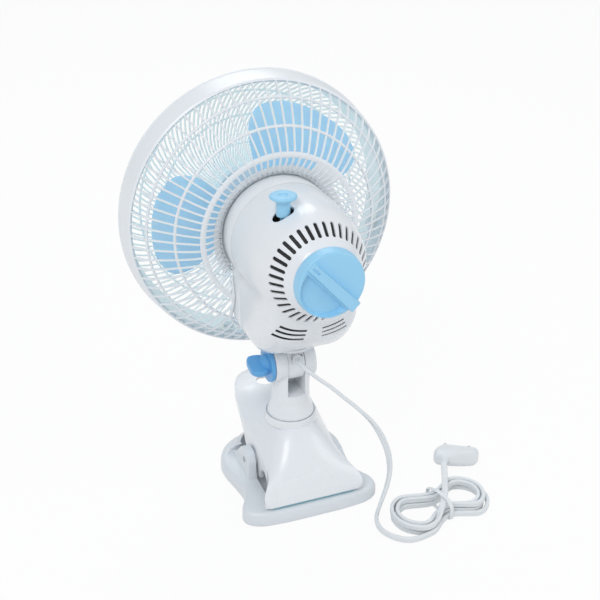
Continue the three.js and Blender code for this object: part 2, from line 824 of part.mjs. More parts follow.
function pivotBushing() {
  const floor = SKIRT_BOTTOM + HOUSING_WALL + CLEAR;
  const outline = [[SPIGOT_R + CLEAR, floor], [13.4, floor], [13.4, floor + 1.8], [BUSHING_R, floor + 1.8],
    [BUSHING_R, -63], [SPIGOT_R + CLEAR, -63], [SPIGOT_R + CLEAR, floor]];
  return turned('z', outline, 16);
}

function pivotLever() {
  const under = -61.9;
  return build([
    rod('z', BUSHING_R - 0.6, under, under + 1.8, [0, 0, 0], 20),
    rod('z', 1.5, under + 1, CRANK.z - 1, [...LEVER_PIN, 0], 12),
  ]);
}

function column() {
  const foot = COLUMN_FOOT_Z - TILT_Z;
  const window = WINDOW_Z - TILT_Z;
  const slot = EYE_HALF + CLEAR;
  const shaft = turned('z', [[0, foot], [COLUMN_FLARE_R, foot], [COLUMN_FLARE_R, foot + 2.4],
    [COLUMN_R + 1.6, foot + 7.4], [COLUMN_R, foot + 15], [COLUMN_R, -6], [0, -6]], 24);
  return build(
    [
      shaft,
      rod('x', EAR_R, -EAR_HALF, EAR_HALF, [0, 0, 0], 24),
      loft([[-14, COLUMN_R], [-6, EAR_HALF]].map(([z, half]) =>
        [[-half, -10], [half, -10], [half, 10], [-half, 10]].map(([x, y]) => [x, y, z]))),
    ],
    [
      box([-slot, slot], [-20, 20], [-EYE_R - CLEAR, 20]),
      box([-slot, slot], [WINDOW_DEPTH_Y, 20], [window, -EYE_R]),
      rod('x', BOLT_R + CLEAR, -20, 20, [0, 0, 0], 20),
      rod('x', 4.6, -EAR_HALF - 1, -EAR_HALF + 3, [0, 0, 0], 6),
      rod('z', 1.8, foot - 1, foot + 14, [0, 0, 0], 12),
    ]
  );
}

function wingKnob() {
  const { disc, thick, hub, reach, wide, blade: plate } = WING;
  const start = EAR_HALF + CLEAR;
  const outline = [[-wide / 2, 0], [wide / 2, 0], [wide / 2 + 0.6, reach * 0.55], [wide / 2 - 5, reach],
    [4 - wide / 2, reach], [-wide / 2 - 0.6, reach * 0.6]];
  const fin = slab(outline, -plate / 2, plate / 2);
  fin.applyMatrix4(new THREE.Matrix4().set(0, 1, 0, start + thick - 0.6, 1, 0, 0, 0, 0, 0, -1, 0, 0, 0, 0, 1));
  fin.rotateX(-rad(WING.turn));
  return build(
    [
      rod('x', disc, start, start + thick, [0, 0, 0], 26),
      rod('x', hub + 3, start + thick - 0.5, start + 11, [0, 0, 0], 20, hub - 2),
      fin,
    ],
    [rod('x', BOLT_R + 0.25, start - 1, start + 9, [0, 0, 0], 16)]
  );
}

// ---------------------------------------------------------------- clamp
function mirrored(points) {
  const others = points.slice().reverse().filter(([x]) => x !== 0);
  return [...points, ...others.map(([x, y]) => [-x, y])];
}

function jawOutline(inset) {
  const knots = [[0, 54.4], [26, 54], [44, 51.4], [52, 45.4], [52.6, 38], [47, 27], [44.6, 18],
    [46.2, 2], [48.8, -14], [48.4, -27], [43.4, -39], [35, -48], [24, -54], [10, -57], [0, -57.4]];
  const curve = new THREE.SplineCurve(knots.map(([x, y]) => new THREE.Vector2(x, y)));
  const half = curve.getPoints(18).map(({ x, y }) => {
    const squeeze = inset / 52;
    return [Math.max(0, x * (1 - squeeze)), y * (1 - squeeze)];
  });
  half[0][0] = 0;
  half[half.length - 1][0] = 0;
  return mirrored(half);
}

function lowerJaw() {
  const levels = [[0, 1.4], [1.4, 0], [LIP_Z - 3, 0.4], [LIP_Z, 2.6]];
  const body = loft(levels.map(([z, inset]) => jawOutline(inset).map(([x, y]) => [x, y, z])));
  const well = slab([[-32.4, 34], [32.4, 34], [32.4, -30], [20, -46], [-20, -46], [-32.4, -30]], 3, 24);
  const cheek = [
    ...arc(PIVOT.y, PIVOT.z, CHEEK_R, 0, 150, 8),
    [-24, 22], [-34, 15], [-40, LIP_Z - 3], [13, LIP_Z - 3],
  ];
  const cheeks = [slabAcross(cheek, EAR_X[0], EAR_X[1]), slabAcross(cheek, -EAR_X[1], -EAR_X[0])];
  const heel = loft([[LIP_Z - 2, 0], [18, 4.5], [21.5, 10]].map(([z, inset]) =>
    arc(0, -10, 47 - inset, 205, 335, 12).map(([x, y]) => [x, y, z])));
  const pinHole = rod('x', PIN_R + CLEAR, -60, 60, [0, PIVOT.y, PIVOT.z], 12);
  return build([build([body, heel], [well]), ...cheeks], [pinHole]);
}

function upperSection([y, half, edge, top, low], inset) {
  const across = 8;
  const w = half - inset;
  const points = [[w, y, low - (inset ? 3 : 0)]];
  for (let i = 0; i <= across; i++) {
    const x = w * Math.cos((Math.PI * i) / across);
    const crown = 1 - Math.pow(Math.abs(x) / w, 2.4);
    points.push([x, y, lerp(edge, top, crown) - inset]);
  }
  points.push([-w, y, low - (inset ? 3 : 0)]);
  return points;
}

function upperJaw() {
  const outer = loft(UPPER_STATIONS.map((station) => upperSection(station, 0)));
  const inside = UPPER_STATIONS.slice(1, -1).map((station) => [...station]);
  inside[0][0] += 0.6;
  inside[inside.length - 1][0] -= 1;
  const inner = loft(inside.map((station) => upperSection(station, JAW_WALL)));
  const archY = 19;
  const arch = [...arc(archY, 16, 8, 0, 180, 6), [archY - 8, 0], [archY + 8, 0]];
  const boss = rod('x', 6, 0.4 - EAR_X[0], EAR_X[0] - 0.4, [0, PIVOT.y, PIVOT.z], 16);
  const hollow = rod('x', 8, -26, 26, [0, PIVOT.y, PIVOT.z], 12);
  return build(
    [
      build([outer], [inner]),
      box([-31, 31], [37.5, 50], [15.2, 17]),
      rod('z', COLLAR_R, 56, COLLAR_Z, [0, 0, 0], 24),
      boss,
    ],
    [
      hollow,
      rod('z', COLUMN_FLARE_R + 2 * CLEAR, COLUMN_FOOT_Z - CLEAR, 80, [0, 0, 0], 24),
      rod('z', 2.4, 50, 70, [0, 0, 0], 16),
      slabAcross(arch, -50, 50),
      rod('x', PIN_R + CLEAR, -60, 60, [0, PIVOT.y, PIVOT.z], 12),
      rod('z', TAB_HOLE.r, 40, 70, [0, TAB_HOLE.y, 0], 28),
    ]
  );
}

function jawPad(from, to) {
  const outline = [...arc(30, 46, 4, 0, 90, 3), ...arc(-30, 46, 4, 90, 180, 3), [-31, 40], [31, 40]];
  return slab(outline, from, to);
}

function pivotPin() {
  const at = [0, PIVOT.y, PIVOT.z];
  return build([
    rod('x', PIN_R, -EAR_X[1] - 1.6, EAR_X[1] + 0.5, at, 10),
    rod('x', 3.6, -EAR_X[1] - 2.2, -EAR_X[1] - CLEAR, at, 12),
    rod('x', 3.6, EAR_X[1] + CLEAR, EAR_X[1] + 1.8, at, 12),
  ]);
}

// ---------------------------------------------------------------- tubes along a line of points
// A closed tube with an oval section, on edge or turned flat as its points say.
function flatTube(line, sides) {
  const rings = line.map((point, i) => {
    const across = lerp(CORD.thick, CORD.wide, point.flat);
    const height = lerp(CORD.wide, CORD.thick, point.flat);
    const before = line[Math.max(i - 1, 0)];
    const after = line[Math.min(i + 1, line.length - 1)];
    const ahead = new THREE.Vector3().subVectors(after, before).normalize();
    const side = new THREE.Vector3(ahead.y, -ahead.x, 0).normalize();
    const up = new THREE.Vector3().crossVectors(side, ahead);
    const ringPoints = [];
    for (let k = 0; k < sides; k++) {
      const angle = ((k + 0.5) * TAU) / sides;
      const p = point.clone();
      p.addScaledVector(side, (across / 2) * Math.cos(angle));
      p.addScaledVector(up, (height / 2) * Math.sin(angle));
      ringPoints.push(p.toArray());
    }
    return ringPoints;
  });
  return loft(rings);
}

function torsionSpring() {
  const { radius, wire, turns, pitch, x } = SPRING;
  const line = [];
  const steps = turns * 8;
  line.push(new THREE.Vector3(x - 0.2, PIVOT.y - 20, PIVOT.z - radius - 3));
  line.push(new THREE.Vector3(x - 0.1, PIVOT.y - 10, PIVOT.z - radius - 1));
  for (let i = 0; i <= steps; i++) {
    const angle = -Math.PI / 2 + (i * TAU) / 8;
    line.push(new THREE.Vector3(
      x + (i / 8) * pitch,
      PIVOT.y + radius * Math.cos(angle),
      PIVOT.z + radius * Math.sin(angle)
    ));
  }
  line.push(new THREE.Vector3(x + turns * pitch + 0.1, PIVOT.y + 10, PIVOT.z - radius - 1));
  line.push(new THREE.Vector3(x + turns * pitch + 0.2, PIVOT.y + 20, PIVOT.z - radius - 3));
  return wireTube(line, wire, 4);
}

// A round closed tube through points, its section carried along without twist.
function wireTube(line, radius, sides) {
  const ahead = line.map((_, i) => new THREE.Vector3()
    .subVectors(line[Math.min(i + 1, line.length - 1)], line[Math.max(i - 1, 0)])
    .normalize());
  let side = new THREE.Vector3(1, 0, 0);
  const rings = line.map((point, i) => {
    side = side.clone().addScaledVector(ahead[i], -side.dot(ahead[i])).normalize();
    const up = new THREE.Vector3().crossVectors(side, ahead[i]);
    return Array.from({ length: sides }, (_, k) => {
      const angle = (k * TAU) / sides;
      return point.clone()
        .addScaledVector(side, radius * Math.cos(angle))
        .addScaledVector(up, radius * Math.sin(angle))
        .toArray();
    });
  });
  return loft(rings);
}

// ---------------------------------------------------------------- cord
// A point of the hank's plane in the shared frame.
function onHank(u, v, z, flat = 0) {
  const turn = rad(HANK.angle);
  const [cx, cy] = HANK.centre;
  const point = new THREE.Vector3(
    cx + u * Math.cos(turn) + v * Math.sin(turn),
    cy + u * Math.sin(turn) - v * Math.cos(turn),
    z
  );
  point.flat = flat;
  return point;
}

// A point of the loops: how far round, which track from the middle, and how high.
function loopPoint(share, track, z) {
  const { half, inner, step, waist } = HANK;
  const r = inner + step * track;
  const run = 2 * half;
  const bend = Math.PI * r;
  const s = (share % 1) * 2 * (run + bend);
  let u;
  let v;
  if (s < run) {
    u = s - half;
    v = r;
  } else if (s < run + bend) {
    const angle = Math.PI / 2 - (s - run) / r;
    u = half + r * Math.cos(angle);
    v = r * Math.sin(angle);
  } else if (s < 2 * run + bend) {
    u = half - (s - run - bend);
    v = -r;
  } else {
    const angle = -Math.PI / 2 - (s - 2 * run - bend) / r;
    u = -half + r * Math.cos(angle);
    v = r * Math.sin(angle);
  }
  const reach = half + 6;
  const pull = Math.abs(u) < reach ? Math.cos((Math.PI * u) / (2 * reach)) ** 2 : 0;
  return onHank(u, v - Math.sign(v) * waist * pull, z + (TIE.thick + CLEAR) * pull);
}

// The hank's line: it enters on the outer track, spirals in on the floor, climbs along a run,
// spirals out above, and leaves over the tied waist towards the plug.
function hankLine() {
  const { spiral, steps, layer } = HANK;
  const low = CORD.wide / 2 + 0.2;
  const inward = 0.1;
  const climb = inward + spiral;
  const outward = climb + 0.2;
  const end = 2 * spiral;
  const points = [];
  for (let i = 0; i <= end * steps; i++) {
    const share = i / steps;
    const inTrack = spiral - THREE.MathUtils.clamp(share - inward, 0, spiral);
    const outTrack = Math.max(0, share - outward);
    const rise = layer * THREE.MathUtils.clamp((share - climb) / (outward - climb), 0, 1);
    points.push(loopPoint(share, inTrack + outTrack, low + rise));
  }
  for (const [u, v, z, flat] of HANK_LEAVES) {
    points.push(onHank(u, v, z, flat));
  }
  return points;
}

// The least distance of the hank's surface to itself: sideways or up, whichever is clear.
function leastSelfGap(line, skip) {
  const across = (p) => lerp(CORD.thick, CORD.wide, p.flat);
  const high = (p) => lerp(CORD.wide, CORD.thick, p.flat);
  let least = Infinity;
  for (let i = 0; i < line.length; i++) {
    for (let j = i + skip; j < line.length; j++) {
      const [a, b] = [line[i], line[j]];
      const flat = Math.hypot(a.x - b.x, a.y - b.y) - (across(a) + across(b)) / 2;
      const up = Math.abs(a.z - b.z) - (high(a) + high(b)) / 2;
      least = Math.min(least, Math.max(flat, up));
    }
  }
  return least;
}

function cordCurve(points) {
  return new THREE.CatmullRomCurve3(
    points.map((p) => new THREE.Vector3(...p)), false, 'centripetal'
  );
}

function roundCord(points, steps) {
  const section = new THREE.Shape(
    arc(0, 0, CORD.round, 0, 315, 7).map(([x, y]) => new THREE.Vector2(x, y))
  );
  const geometry = new THREE.ExtrudeGeometry(section, {
    steps,
    extrudePath: cordCurve(points),
    bevelEnabled: false,
  });
  return facingOut(geometry.index ? geometry.toNonIndexed() : geometry);
}

// The band round the hank's waist, drawn across the runs.
function cordTie() {
  const grow = (points, by) => points.map(([v, z], i) => {
    const before = new THREE.Vector2(...points[(i + points.length - 1) % points.length]);
    const here = new THREE.Vector2(v, z);
    const after = new THREE.Vector2(...points[(i + 1) % points.length]);
    const a = here.clone().sub(before).normalize();
    const b = after.clone().sub(here).normalize();
    const out = new THREE.Vector2(a.y + b.y, -a.x - b.x).normalize();
    out.multiplyScalar(by / Math.cos(a.angleTo(b) / 2));
    return [v + out.x, z + out.y];
  });
  const band = slab(grow(TIE_OUTLINE, TIE.thick), -TIE.width / 2, TIE.width / 2, TIE_OUTLINE);
  const p = band.attributes.position;
  for (let i = 0; i < p.count; i++) {
    const place = onHank(p.getZ(i), p.getX(i), p.getY(i));
    p.setXYZ(i, place.x, place.y, place.z);
  }
  return facingOut(band.index ? band.toNonIndexed() : band);
}

// ---------------------------------------------------------------- plug
// Moves a piece drawn with its pins along +X, its width along Y, to the plug's place.
function placePlug(geometry) {
  geometry.rotateY(rad(PLUG.dip));
  geometry.rotateZ(rad(PLUG.yaw));
  geometry.translate(...PLUG.centre);
  return geometry;
}

function plugPoint(x, y, z) {
  return placePlug(new THREE.BufferGeometry().setFromPoints([new THREE.Vector3(x, y, z)]))
    .attributes.position.array.slice(0, 3);
}

function plugBody() {
  const { wide, thick, depth, boot, pin_gap: gap, pin_r: pin } = PLUG;
  const outline = (k, x, grow) => {
    const half = wide / 2 - grow;
    const high = thick / 2 - grow * k;
    const c = high * 0.62;
    return [
      ...arc(half - c, high - c, c, 0, 90, 3), ...arc(c - half, high - c, c, 90, 180, 3),
      ...arc(c - half, c - high, c, 180, 270, 3), ...arc(half - c, c - high, c, 270, 360, 3),
    ].map(([y, z]) => [x, y, z]);
  };
  const body = loft([outline(0.6, -depth / 2, 4.4), outline(0.6, 3 - depth / 2, 1),
    outline(0.6, depth / 2 - 1, 0), outline(1, depth / 2, 0.8)]);
  const sockets = [-1, 1].map((side) =>
    rod('x', pin + CLEAR, depth / 2 - 6, depth / 2 + 1, [0, (side * gap) / 2, 0], 14));
  const entry = rod('x', 3.3, -depth / 2 - 4.3, 2 - depth / 2, [0, boot, 0], 12);
  return placePlug(build([body, entry], sockets));
}

function plugPin(side) {
  const { depth, pin_length: length, pin_gap: gap, pin_r: r } = PLUG;
  const from = depth / 2 - 5.6;
  const tip = depth / 2 + length;
  return placePlug(build([
    rod('x', r, from, tip - 1.4, [0, (side * gap) / 2, 0], 14),
    rod('x', r, tip - 1.6, tip, [0, (side * gap) / 2, 0], 14, r * 0.6),
  ]));
}

// ---------------------------------------------------------------- assembly
const [coreFront, coreRear] = STATOR.y;
piece(head, 'rear_grille', rearGrille(), 'grille');
piece(head, 'front_grille', frontGrille(), 'grille');
piece(head, 'front_badge', badge(), 'shell');
rimClips().forEach((clip, i) => piece(head, `rim_clip_${i + 1}`, clip, 'grille'));
piece(head, 'rear_housing', rearHousing(), 'shell');
piece(head, 'front_housing', frontHousing(), 'shell');
piece(head, 'speed_knob', speedKnob(), 'blue');
piece(head, 'rotary_switch', rotarySwitch(), 'dark');
piece(head, 'pull_knob', pullKnob(), 'blue');
piece(head, 'fan_blade', fanBlade(), 'blade');
piece(head, 'spinner_nut', spinnerNut(), 'blade');
piece(head, 'motor_shaft', rod('y', SHAFT_R, ...SHAFT_Y, [0, 0, 0], 16), 'steel');
piece(head, 'rotor_core', ring('y', SHAFT_R + CLEAR, ROTOR_R, coreFront, coreRear, [0, 0, 0], 16), 'steel');
piece(head, 'stator_core', stator(), 'steel');
piece(head, 'front_coil', ring('y', COIL.inner, COIL.outer, coreFront - CLEAR - COIL.deep,
  coreFront - CLEAR, [0, 0, 0], 18), 'copper');
piece(head, 'rear_coil', ring('y', COIL.inner, COIL.outer, coreRear + CLEAR,
  coreRear + CLEAR + COIL.deep, [0, 0, 0], 18), 'copper');
piece(head, 'front_bracket', motorBracket(BRACKET_Y[0], BRACKET_Y[0] + BRACKET_THICK,
  coreFront - CLEAR), 'steel');
piece(head, 'rear_bracket', motorBracket(BRACKET_Y[1], BRACKET_Y[1] - BRACKET_THICK,
  coreRear + CLEAR), 'steel');
piece(head, 'front_bearing', bearing(BRACKET_Y[0] + BRACKET_THICK / 2), 'brass');
piece(head, 'rear_bearing', bearing(BRACKET_Y[1] - BRACKET_THICK / 2), 'brass');
piece(head, 'gearbox', gearbox(), 'base');
piece(head, 'crank', crank(), 'steel');
piece(head, 'link_arm', linkArm(), 'steel');
piece(head, 'pivot_bushing', pivotBushing(), 'dark');
piece(head, 'pivot_lever', pivotLever(), 'steel');
piece(neck, 'tilt_bracket', tiltBracket(), 'shell');
piece(neck, 'cord_grommet', build([rod('y', 3.2, 6, 14, [0, 0, CORD_EXIT[2] - TILT_Z], 16),
  rod('y', 3.9, 13.8, CORD_EXIT[1] - CLEAR, [0, 0, CORD_EXIT[2] - TILT_Z], 16)]), 'cord');
piece(neck, 'column', column(), 'shell');
piece(neck, 'wing_knob', wingKnob(), 'deep');
piece(neck, 'tilt_bolt', rod('x', BOLT_R, -18.6, 24, [0, 0, 0], 16), 'steel');
piece(neck, 'tilt_nut', build([rod('x', 4.2, -17, -12.9, [0, 0, 0], 6)],
  [rod('x', BOLT_R + CLEAR, -18, -12, [0, 0, 0], 12)]), 'steel');
piece(fan, 'column_screw', columnScrew(), 'steel');
piece(fan, 'lower_jaw', lowerJaw(), 'base');
piece(fan, 'upper_jaw', upperJaw(), 'shell');
piece(fan, 'lower_pad', jawPad(LIP_Z + CLEAR, LIP_Z + CLEAR + PAD_THICK), 'teal');
piece(fan, 'upper_pad', jawPad(15.2 - CLEAR - PAD_THICK, 15.2 - CLEAR), 'teal');
piece(fan, 'pivot_pin', pivotPin(), 'steel');
piece(fan, 'torsion_spring', torsionSpring(), 'steel');
const hank = hankLine();
const into = hank[1].clone().sub(hank[0]).normalize();
const arrive = [CORD.wide, CLEAR].map((back) => hank[0].clone().addScaledVector(into, -back).toArray());
piece(fan, 'cord_stretch', roundCord([...CORD_ROUTE, ...arrive], 30), 'cord');
piece(fan, 'cord_hank', flatTube(hank, HANK.sides), 'cord');
const leave = hank[hank.length - 1];
const on = leave.clone().sub(hank[hank.length - 2]).normalize();
const tailStart = leave.clone().addScaledVector(on, CLEAR);
const tailNext = leave.clone().addScaledVector(on, CORD.wide);
const bootEnd = -PLUG.depth / 2 - 4.3 - CLEAR;
piece(fan, 'cord_tail', roundCord([tailStart.toArray(), tailNext.toArray(),
  [...plugPoint(bootEnd - CORD.wide, PLUG.boot, 0)], [...plugPoint(bootEnd, PLUG.boot, 0)]], 8), 'cord');
piece(fan, 'cord_tie', cordTie(), 'cord');
piece(fan, 'plug_body', plugBody(), 'cord');
piece(fan, 'plug_pin_1', plugPin(-1), 'steel');
piece(fan, 'plug_pin_2', plugPin(1), 'steel');
console.log('least gap of the hank to itself', leastSelfGap(hank, 8).toFixed(2));

export default fan;
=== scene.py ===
"""Dresses the clip fan's frame: camera, cord, pieces, materials, light and floor.

Lengths are written in mm, and MM turns them into the scene's metres.
"""

import json
import math

import bmesh
import bpy
from mathutils import Matrix, Vector

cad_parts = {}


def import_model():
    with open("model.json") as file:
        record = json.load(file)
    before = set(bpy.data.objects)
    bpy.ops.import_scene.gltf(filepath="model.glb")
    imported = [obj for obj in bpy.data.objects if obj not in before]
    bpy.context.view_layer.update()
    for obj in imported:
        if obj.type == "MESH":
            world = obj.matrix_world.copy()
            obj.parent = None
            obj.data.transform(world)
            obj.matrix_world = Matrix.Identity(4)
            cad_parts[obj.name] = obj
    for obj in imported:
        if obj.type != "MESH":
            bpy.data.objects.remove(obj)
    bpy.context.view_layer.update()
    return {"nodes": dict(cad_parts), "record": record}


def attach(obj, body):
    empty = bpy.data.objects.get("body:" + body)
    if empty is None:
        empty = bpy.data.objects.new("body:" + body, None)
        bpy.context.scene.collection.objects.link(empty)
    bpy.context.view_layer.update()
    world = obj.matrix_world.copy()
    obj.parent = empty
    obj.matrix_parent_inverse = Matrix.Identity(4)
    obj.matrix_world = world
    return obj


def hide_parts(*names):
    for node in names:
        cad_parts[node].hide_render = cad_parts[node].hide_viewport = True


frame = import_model()
nodes = frame["nodes"]

MM = 0.001
TAU = 2 * math.pi

# ---------------------------------------------------------------- driving dimensions, in mm
HEAD_Z = 199
TILT_Z = 105
RIBS = 72
FRONT_RIBS = 120
REAR_RINGS = [(43.6, -25.5, 3.2), (57.8, -17.5, 4.4), (75.4, -26.7, 2.2), (92.2, -40, 2.0)]
HOUSING_R = 41.3
SEAM_Y = -8
SKIRT_BOTTOM = -75.5
SKIRT_ANGLE = 0.546
SKIRT_CORNER = 16
WALL = 1.2
# The dark sleeve of painted shade behind the vents: its gap from the wall and its thickness.
SHADE_SLEEVE_GAP = 0.4
SHADE_SLEEVE_WALL = 0.8
SPIGOT_HOLE_R = 8.3
VENTS = 36
VENT_AT = (31.3, 55)
VENT_SLOPE = -0.955  # in radians
VENT_RUN = 4.8  # half the straight run of a vent
VENT_END_R = 1.3
LOW_VENTS = (46, 50, 54)
LOW_VENT_ARCS = ((-56, -83, 0.95), (-117, -97, 0.7))  # start and end in degrees, half width
PULL_AT = (17, 31)
BLADES = 3
BLADE_Y = -56
BLADE_START = 14
BLADE_R = 85
BLADE_PITCH = 24
BLADE_THICK = 1.7
BOLT_HOLE_R = 2.8
EYE_R = 13.8
EYE_HALF = 6.4
PIVOT = (0, -2, 24)
PIVOT_R = 2
PIVOT_HOLE_R = 2.3
TAB_HOLE = (0, -57, 0)
TAB_HOLE_R = 7.4
KEYHOLE_STEPS = (60, 16, 40)  # of the circle, of a corner and of the skirt
SHELL = [
    # (y, radius, share of the skirt, lowest point)
    (SEAM_Y, HOUSING_R, 1, SKIRT_BOTTOM),
    (14, 41, 1, SKIRT_BOTTOM),
    (27, 40.2, 1, -70.5),
    (36, 39.2, 1, -62.5),
    (43, 37.6, 1, -53.5),
    (50, 34.9, 0.35, -44),
    (60, 27.8, 0, -40),
    (66, 23.6, 0, -38),
]
CORD_WIDE = 4.8
CORD_THICK = 2.9


# ---------------------------------------------------------------- colours and materials
def linear(hexa):
    """A colour written as #rrggbb, as the numbers that a shader takes."""
    values = [int(hexa[i : i + 2], 16) / 255 for i in (1, 3, 5)]
    return [v / 12.92 if v <= 0.04045 else ((v + 0.055) / 1.055) ** 2.4 for v in values] + [1]


def plastic(name, colour, rough=0.32, vary=0.03, grain=0.02, scale=900, **sockets):
    """A moulded plastic: its colour drifts a little, and its skin has a fine grain."""
    material = bpy.data.materials.new(name)
    material.use_nodes = True
    tree = material.node_tree
    shader = tree.nodes["Principled BSDF"]
    place = tree.nodes.new("ShaderNodeTexCoord")
    cloud = tree.nodes.new("ShaderNodeTexNoise")
    cloud.inputs["Scale"].default_value = 22
    cloud.inputs["Detail"].default_value = 3
    tree.links.new(place.outputs["Object"], cloud.inputs["Vector"])
    tint = tree.nodes.new("ShaderNodeMix")
    tint.data_type = "RGBA"
    base = linear(colour)
    tint.inputs["A"].default_value = [c * (1 - vary) for c in base[:3]] + [1]
    tint.inputs["B"].default_value = [min(1, c * (1 + vary)) for c in base[:3]] + [1]
    tree.links.new(cloud.outputs["Fac"], tint.inputs["Factor"])
    tree.links.new(tint.outputs["Result"], shader.inputs["Base Color"])
    gloss = tree.nodes.new("ShaderNodeMapRange")
    gloss.inputs["To Min"].default_value = rough - 0.04
    gloss.inputs["To Max"].default_value = rough + 0.05
    tree.links.new(cloud.outputs["Fac"], gloss.inputs["Value"])
    tree.links.new(gloss.outputs["Result"], shader.inputs["Roughness"])
    skin = tree.nodes.new("ShaderNodeTexNoise")
    skin.inputs["Scale"].default_value = scale
    tree.links.new(place.outputs["Object"], skin.inputs["Vector"])
    bump = tree.nodes.new("ShaderNodeBump")
    bump.inputs["Strength"].default_value = grain
    bump.inputs["Distance"].default_value = 0.0004
    tree.links.new(skin.outputs["Fac"], bump.inputs["Height"])
    tree.links.new(bump.outputs["Normal"], shader.inputs["Normal"])
    for key, value in sockets.items():
        shader.inputs[key.replace("_", " ")].default_value = value
    return material


def metal(name, colour, rough=0.3, stretch=(40, 40, 900)):
    """A drawn metal with fine streaks."""
    material = plastic(name, colour, rough, 0.06, 0.05, 500, Metallic=1.0)
    tree = material.node_tree
    streak = tree.nodes.new("ShaderNodeMapping")
    streak.inputs["Scale"].default_value = stretch
    place = next(n for n in tree.nodes if n.type == "TEX_COORD")
    cloud = next(n for n in tree.nodes if n.type == "TEX_NOISE")
    cloud.inputs["Scale"].default_value = 4
    tree.links.new(place.outputs["Object"], streak.inputs["Vector"])
    tree.links.new(streak.outputs["Vector"], cloud.inputs["Vector"])
    return material


LOOKS = {
    "white_grille": plastic("white_grille", "#eef2f5", 0.3),
    # Painted light: the front grille wears a lighter copy of the grille white that glows faintly,
    # to brighten it where it sits in shade behind the blades.
    "painted_glow_grille": plastic(
        "painted_glow_grille", "#f3f7f5", 0.4, Emission_Color=linear("#e0e8e5"), Emission_Strength=0.2
    ),
    "white_shell": plastic("white_shell", "#eef1f4", 0.26, Coat_Weight=0.25),
    "grey_white_base": plastic("grey_white_base", "#e3e8ec", 0.34),
    "grey_plastic": plastic("grey_plastic", "#dde4e9", 0.45),
    "blue_knob": plastic("blue_knob", "#9ed7f6", 0.36, 0.04),
    "deep_blue_knob": plastic("deep_blue_knob", "#62abe2", 0.34, 0.04),
    # Painted light: the blades' plastic glows faintly, to brighten them in the shade of the
    # grilles.
    "blue_blade": plastic(
        "blue_blade", "#a8dffe", 0.2, 0.03, 0.01, 700, Subsurface_Weight=0.2, Coat_Weight=0.3,
        Emission_Color=linear("#8fd0f5"), Emission_Strength=0.1
    ),
    "teal_pad": plastic("teal_pad", "#8fc6d2", 0.75, 0.06, 0.3, 1600),
    "steel": metal("steel", "#b4b8bd"),
    "copper_wire": metal("copper_wire", "#b06a3a", 0.4, (900, 40, 40)),
    "brass": metal("brass", "#c8a458", 0.38),
    "dark_plastic": plastic("dark_plastic", "#17181a", 0.55, 0.1),
    "cord_white": plastic("cord_white", "#e9edef", 0.42, 0.03, 0.05, 1200),
}


def wear(piece, look):
    piece.data.materials.clear()
    piece.data.materials.append(LOOKS[look])
    return piece


# ---------------------------------------------------------------- mesh helpers, in mm
SMOOTH_UNDER = math.radians(38)


def smooth(piece):
    for polygon in piece.data.polygons:
        polygon.use_smooth = True
    piece.data.set_sharp_from_angle(angle=SMOOTH_UNDER)
    return piece


def from_data(name, points, faces):
    mesh = bpy.data.meshes.new(name)
    mesh.from_pydata([Vector(p) * MM for p in points], [], faces)
    shape = bmesh.new()
    shape.from_mesh(mesh)
    bmesh.ops.recalc_face_normals(shape, faces=shape.faces)
    shape.to_mesh(mesh)
    shape.free()
    piece = bpy.data.objects.new(name, mesh)
    bpy.context.scene.collection.objects.link(piece)
    return piece


def dress(piece, body, look, *stands_for):
    """The last call on a piece: its body, its finish, its shading and the nodes it replaces."""
    wear(piece, look)
    smooth(piece)
    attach(piece, body)
    if stands_for:
        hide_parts(*stands_for)
    return piece


def grid_faces(rows, columns, closed=True, start=0):
    faces = []
    for k in range(rows - 1):
        for i in range(columns if closed else columns - 1):
            j = (i + 1) % columns
            a, b = start + k * columns, start + (k + 1) * columns
            faces.append((a + i, a + j, b + j, b + i))
    return faces


def loft(name, rings):
    """A closed body through rings of equally many points."""
    count = len(rings[0])
    points = [p for ring in rings for p in ring]
    faces = grid_faces(len(rings), count)
    faces.append(tuple(range(count)))
    faces.append(tuple(range((len(rings) - 1) * count, len(rings) * count)))
    return from_data(name, points, faces)


TURN = {
    "x": lambda r, h, a: (h, r * math.cos(a), r * math.sin(a)),
    "y": lambda r, h, a: (r * math.cos(a), h, r * math.sin(a)),
    "z": lambda r, h, a: (r * math.cos(a), r * math.sin(a), h),
}


def turned(name, axis, profile, steps=96, at=(0, 0, 0)):
    """A solid of revolution: an open profile of (radius, height) has its ends on the axis."""
    closed = profile[0] == profile[-1]
    line = profile[:-1] if closed else profile
    points, rings = [], []
    for r, h in line:
        if r < 1e-6:
            rings.append([len(points)] * steps)
            points.append(TURN[axis](0, h, 0))
        else:
            rings.append(list(range(len(points), len(points) + steps)))
            points += [TURN[axis](r, h, TAU * i / steps) for i in range(steps)]
    pairs = list(zip(rings, rings[1:] + ([rings[0]] if closed else [])))
    faces = []
    for low, high in pairs:
        for i in range(steps):
            j = (i + 1) % steps
            corners = [low[i], low[j], high[j], high[i]]
            face = tuple(dict.fromkeys(corners))
            if len(face) > 2:
                faces.append(face)
    points = [tuple(a + b for a, b in zip(p, at)) for p in points]
    return from_data(name, points, faces)


def rounded(profile, r=0.8, steps=3):
    """The profile with its inner corners rounded, its first and last points kept."""
    line = [profile[0]]
    for a, b, c in zip(profile, profile[1:], profile[2:]):
        before = Vector(a) - Vector(b)
        after = Vector(c) - Vector(b)
        cut = min(r, before.length * 0.45, after.length * 0.45)
        p, q = Vector(b) + before.normalized() * cut, Vector(b) + after.normalized() * cut
        for i in range(steps + 1):
            t = i / steps
            line.append(tuple(p * (1 - t) ** 2 + Vector(b) * 2 * t * (1 - t) + q * t * t))
    line.append(profile[-1])
    return line


def rod(axis, r, start, end, at=(0, 0, 0), steps=64, edge=0.5):
    profile = [(0, start), (r, start), (r, end), (0, end)]
    return turned("rod", axis, rounded(profile, edge), steps, at)


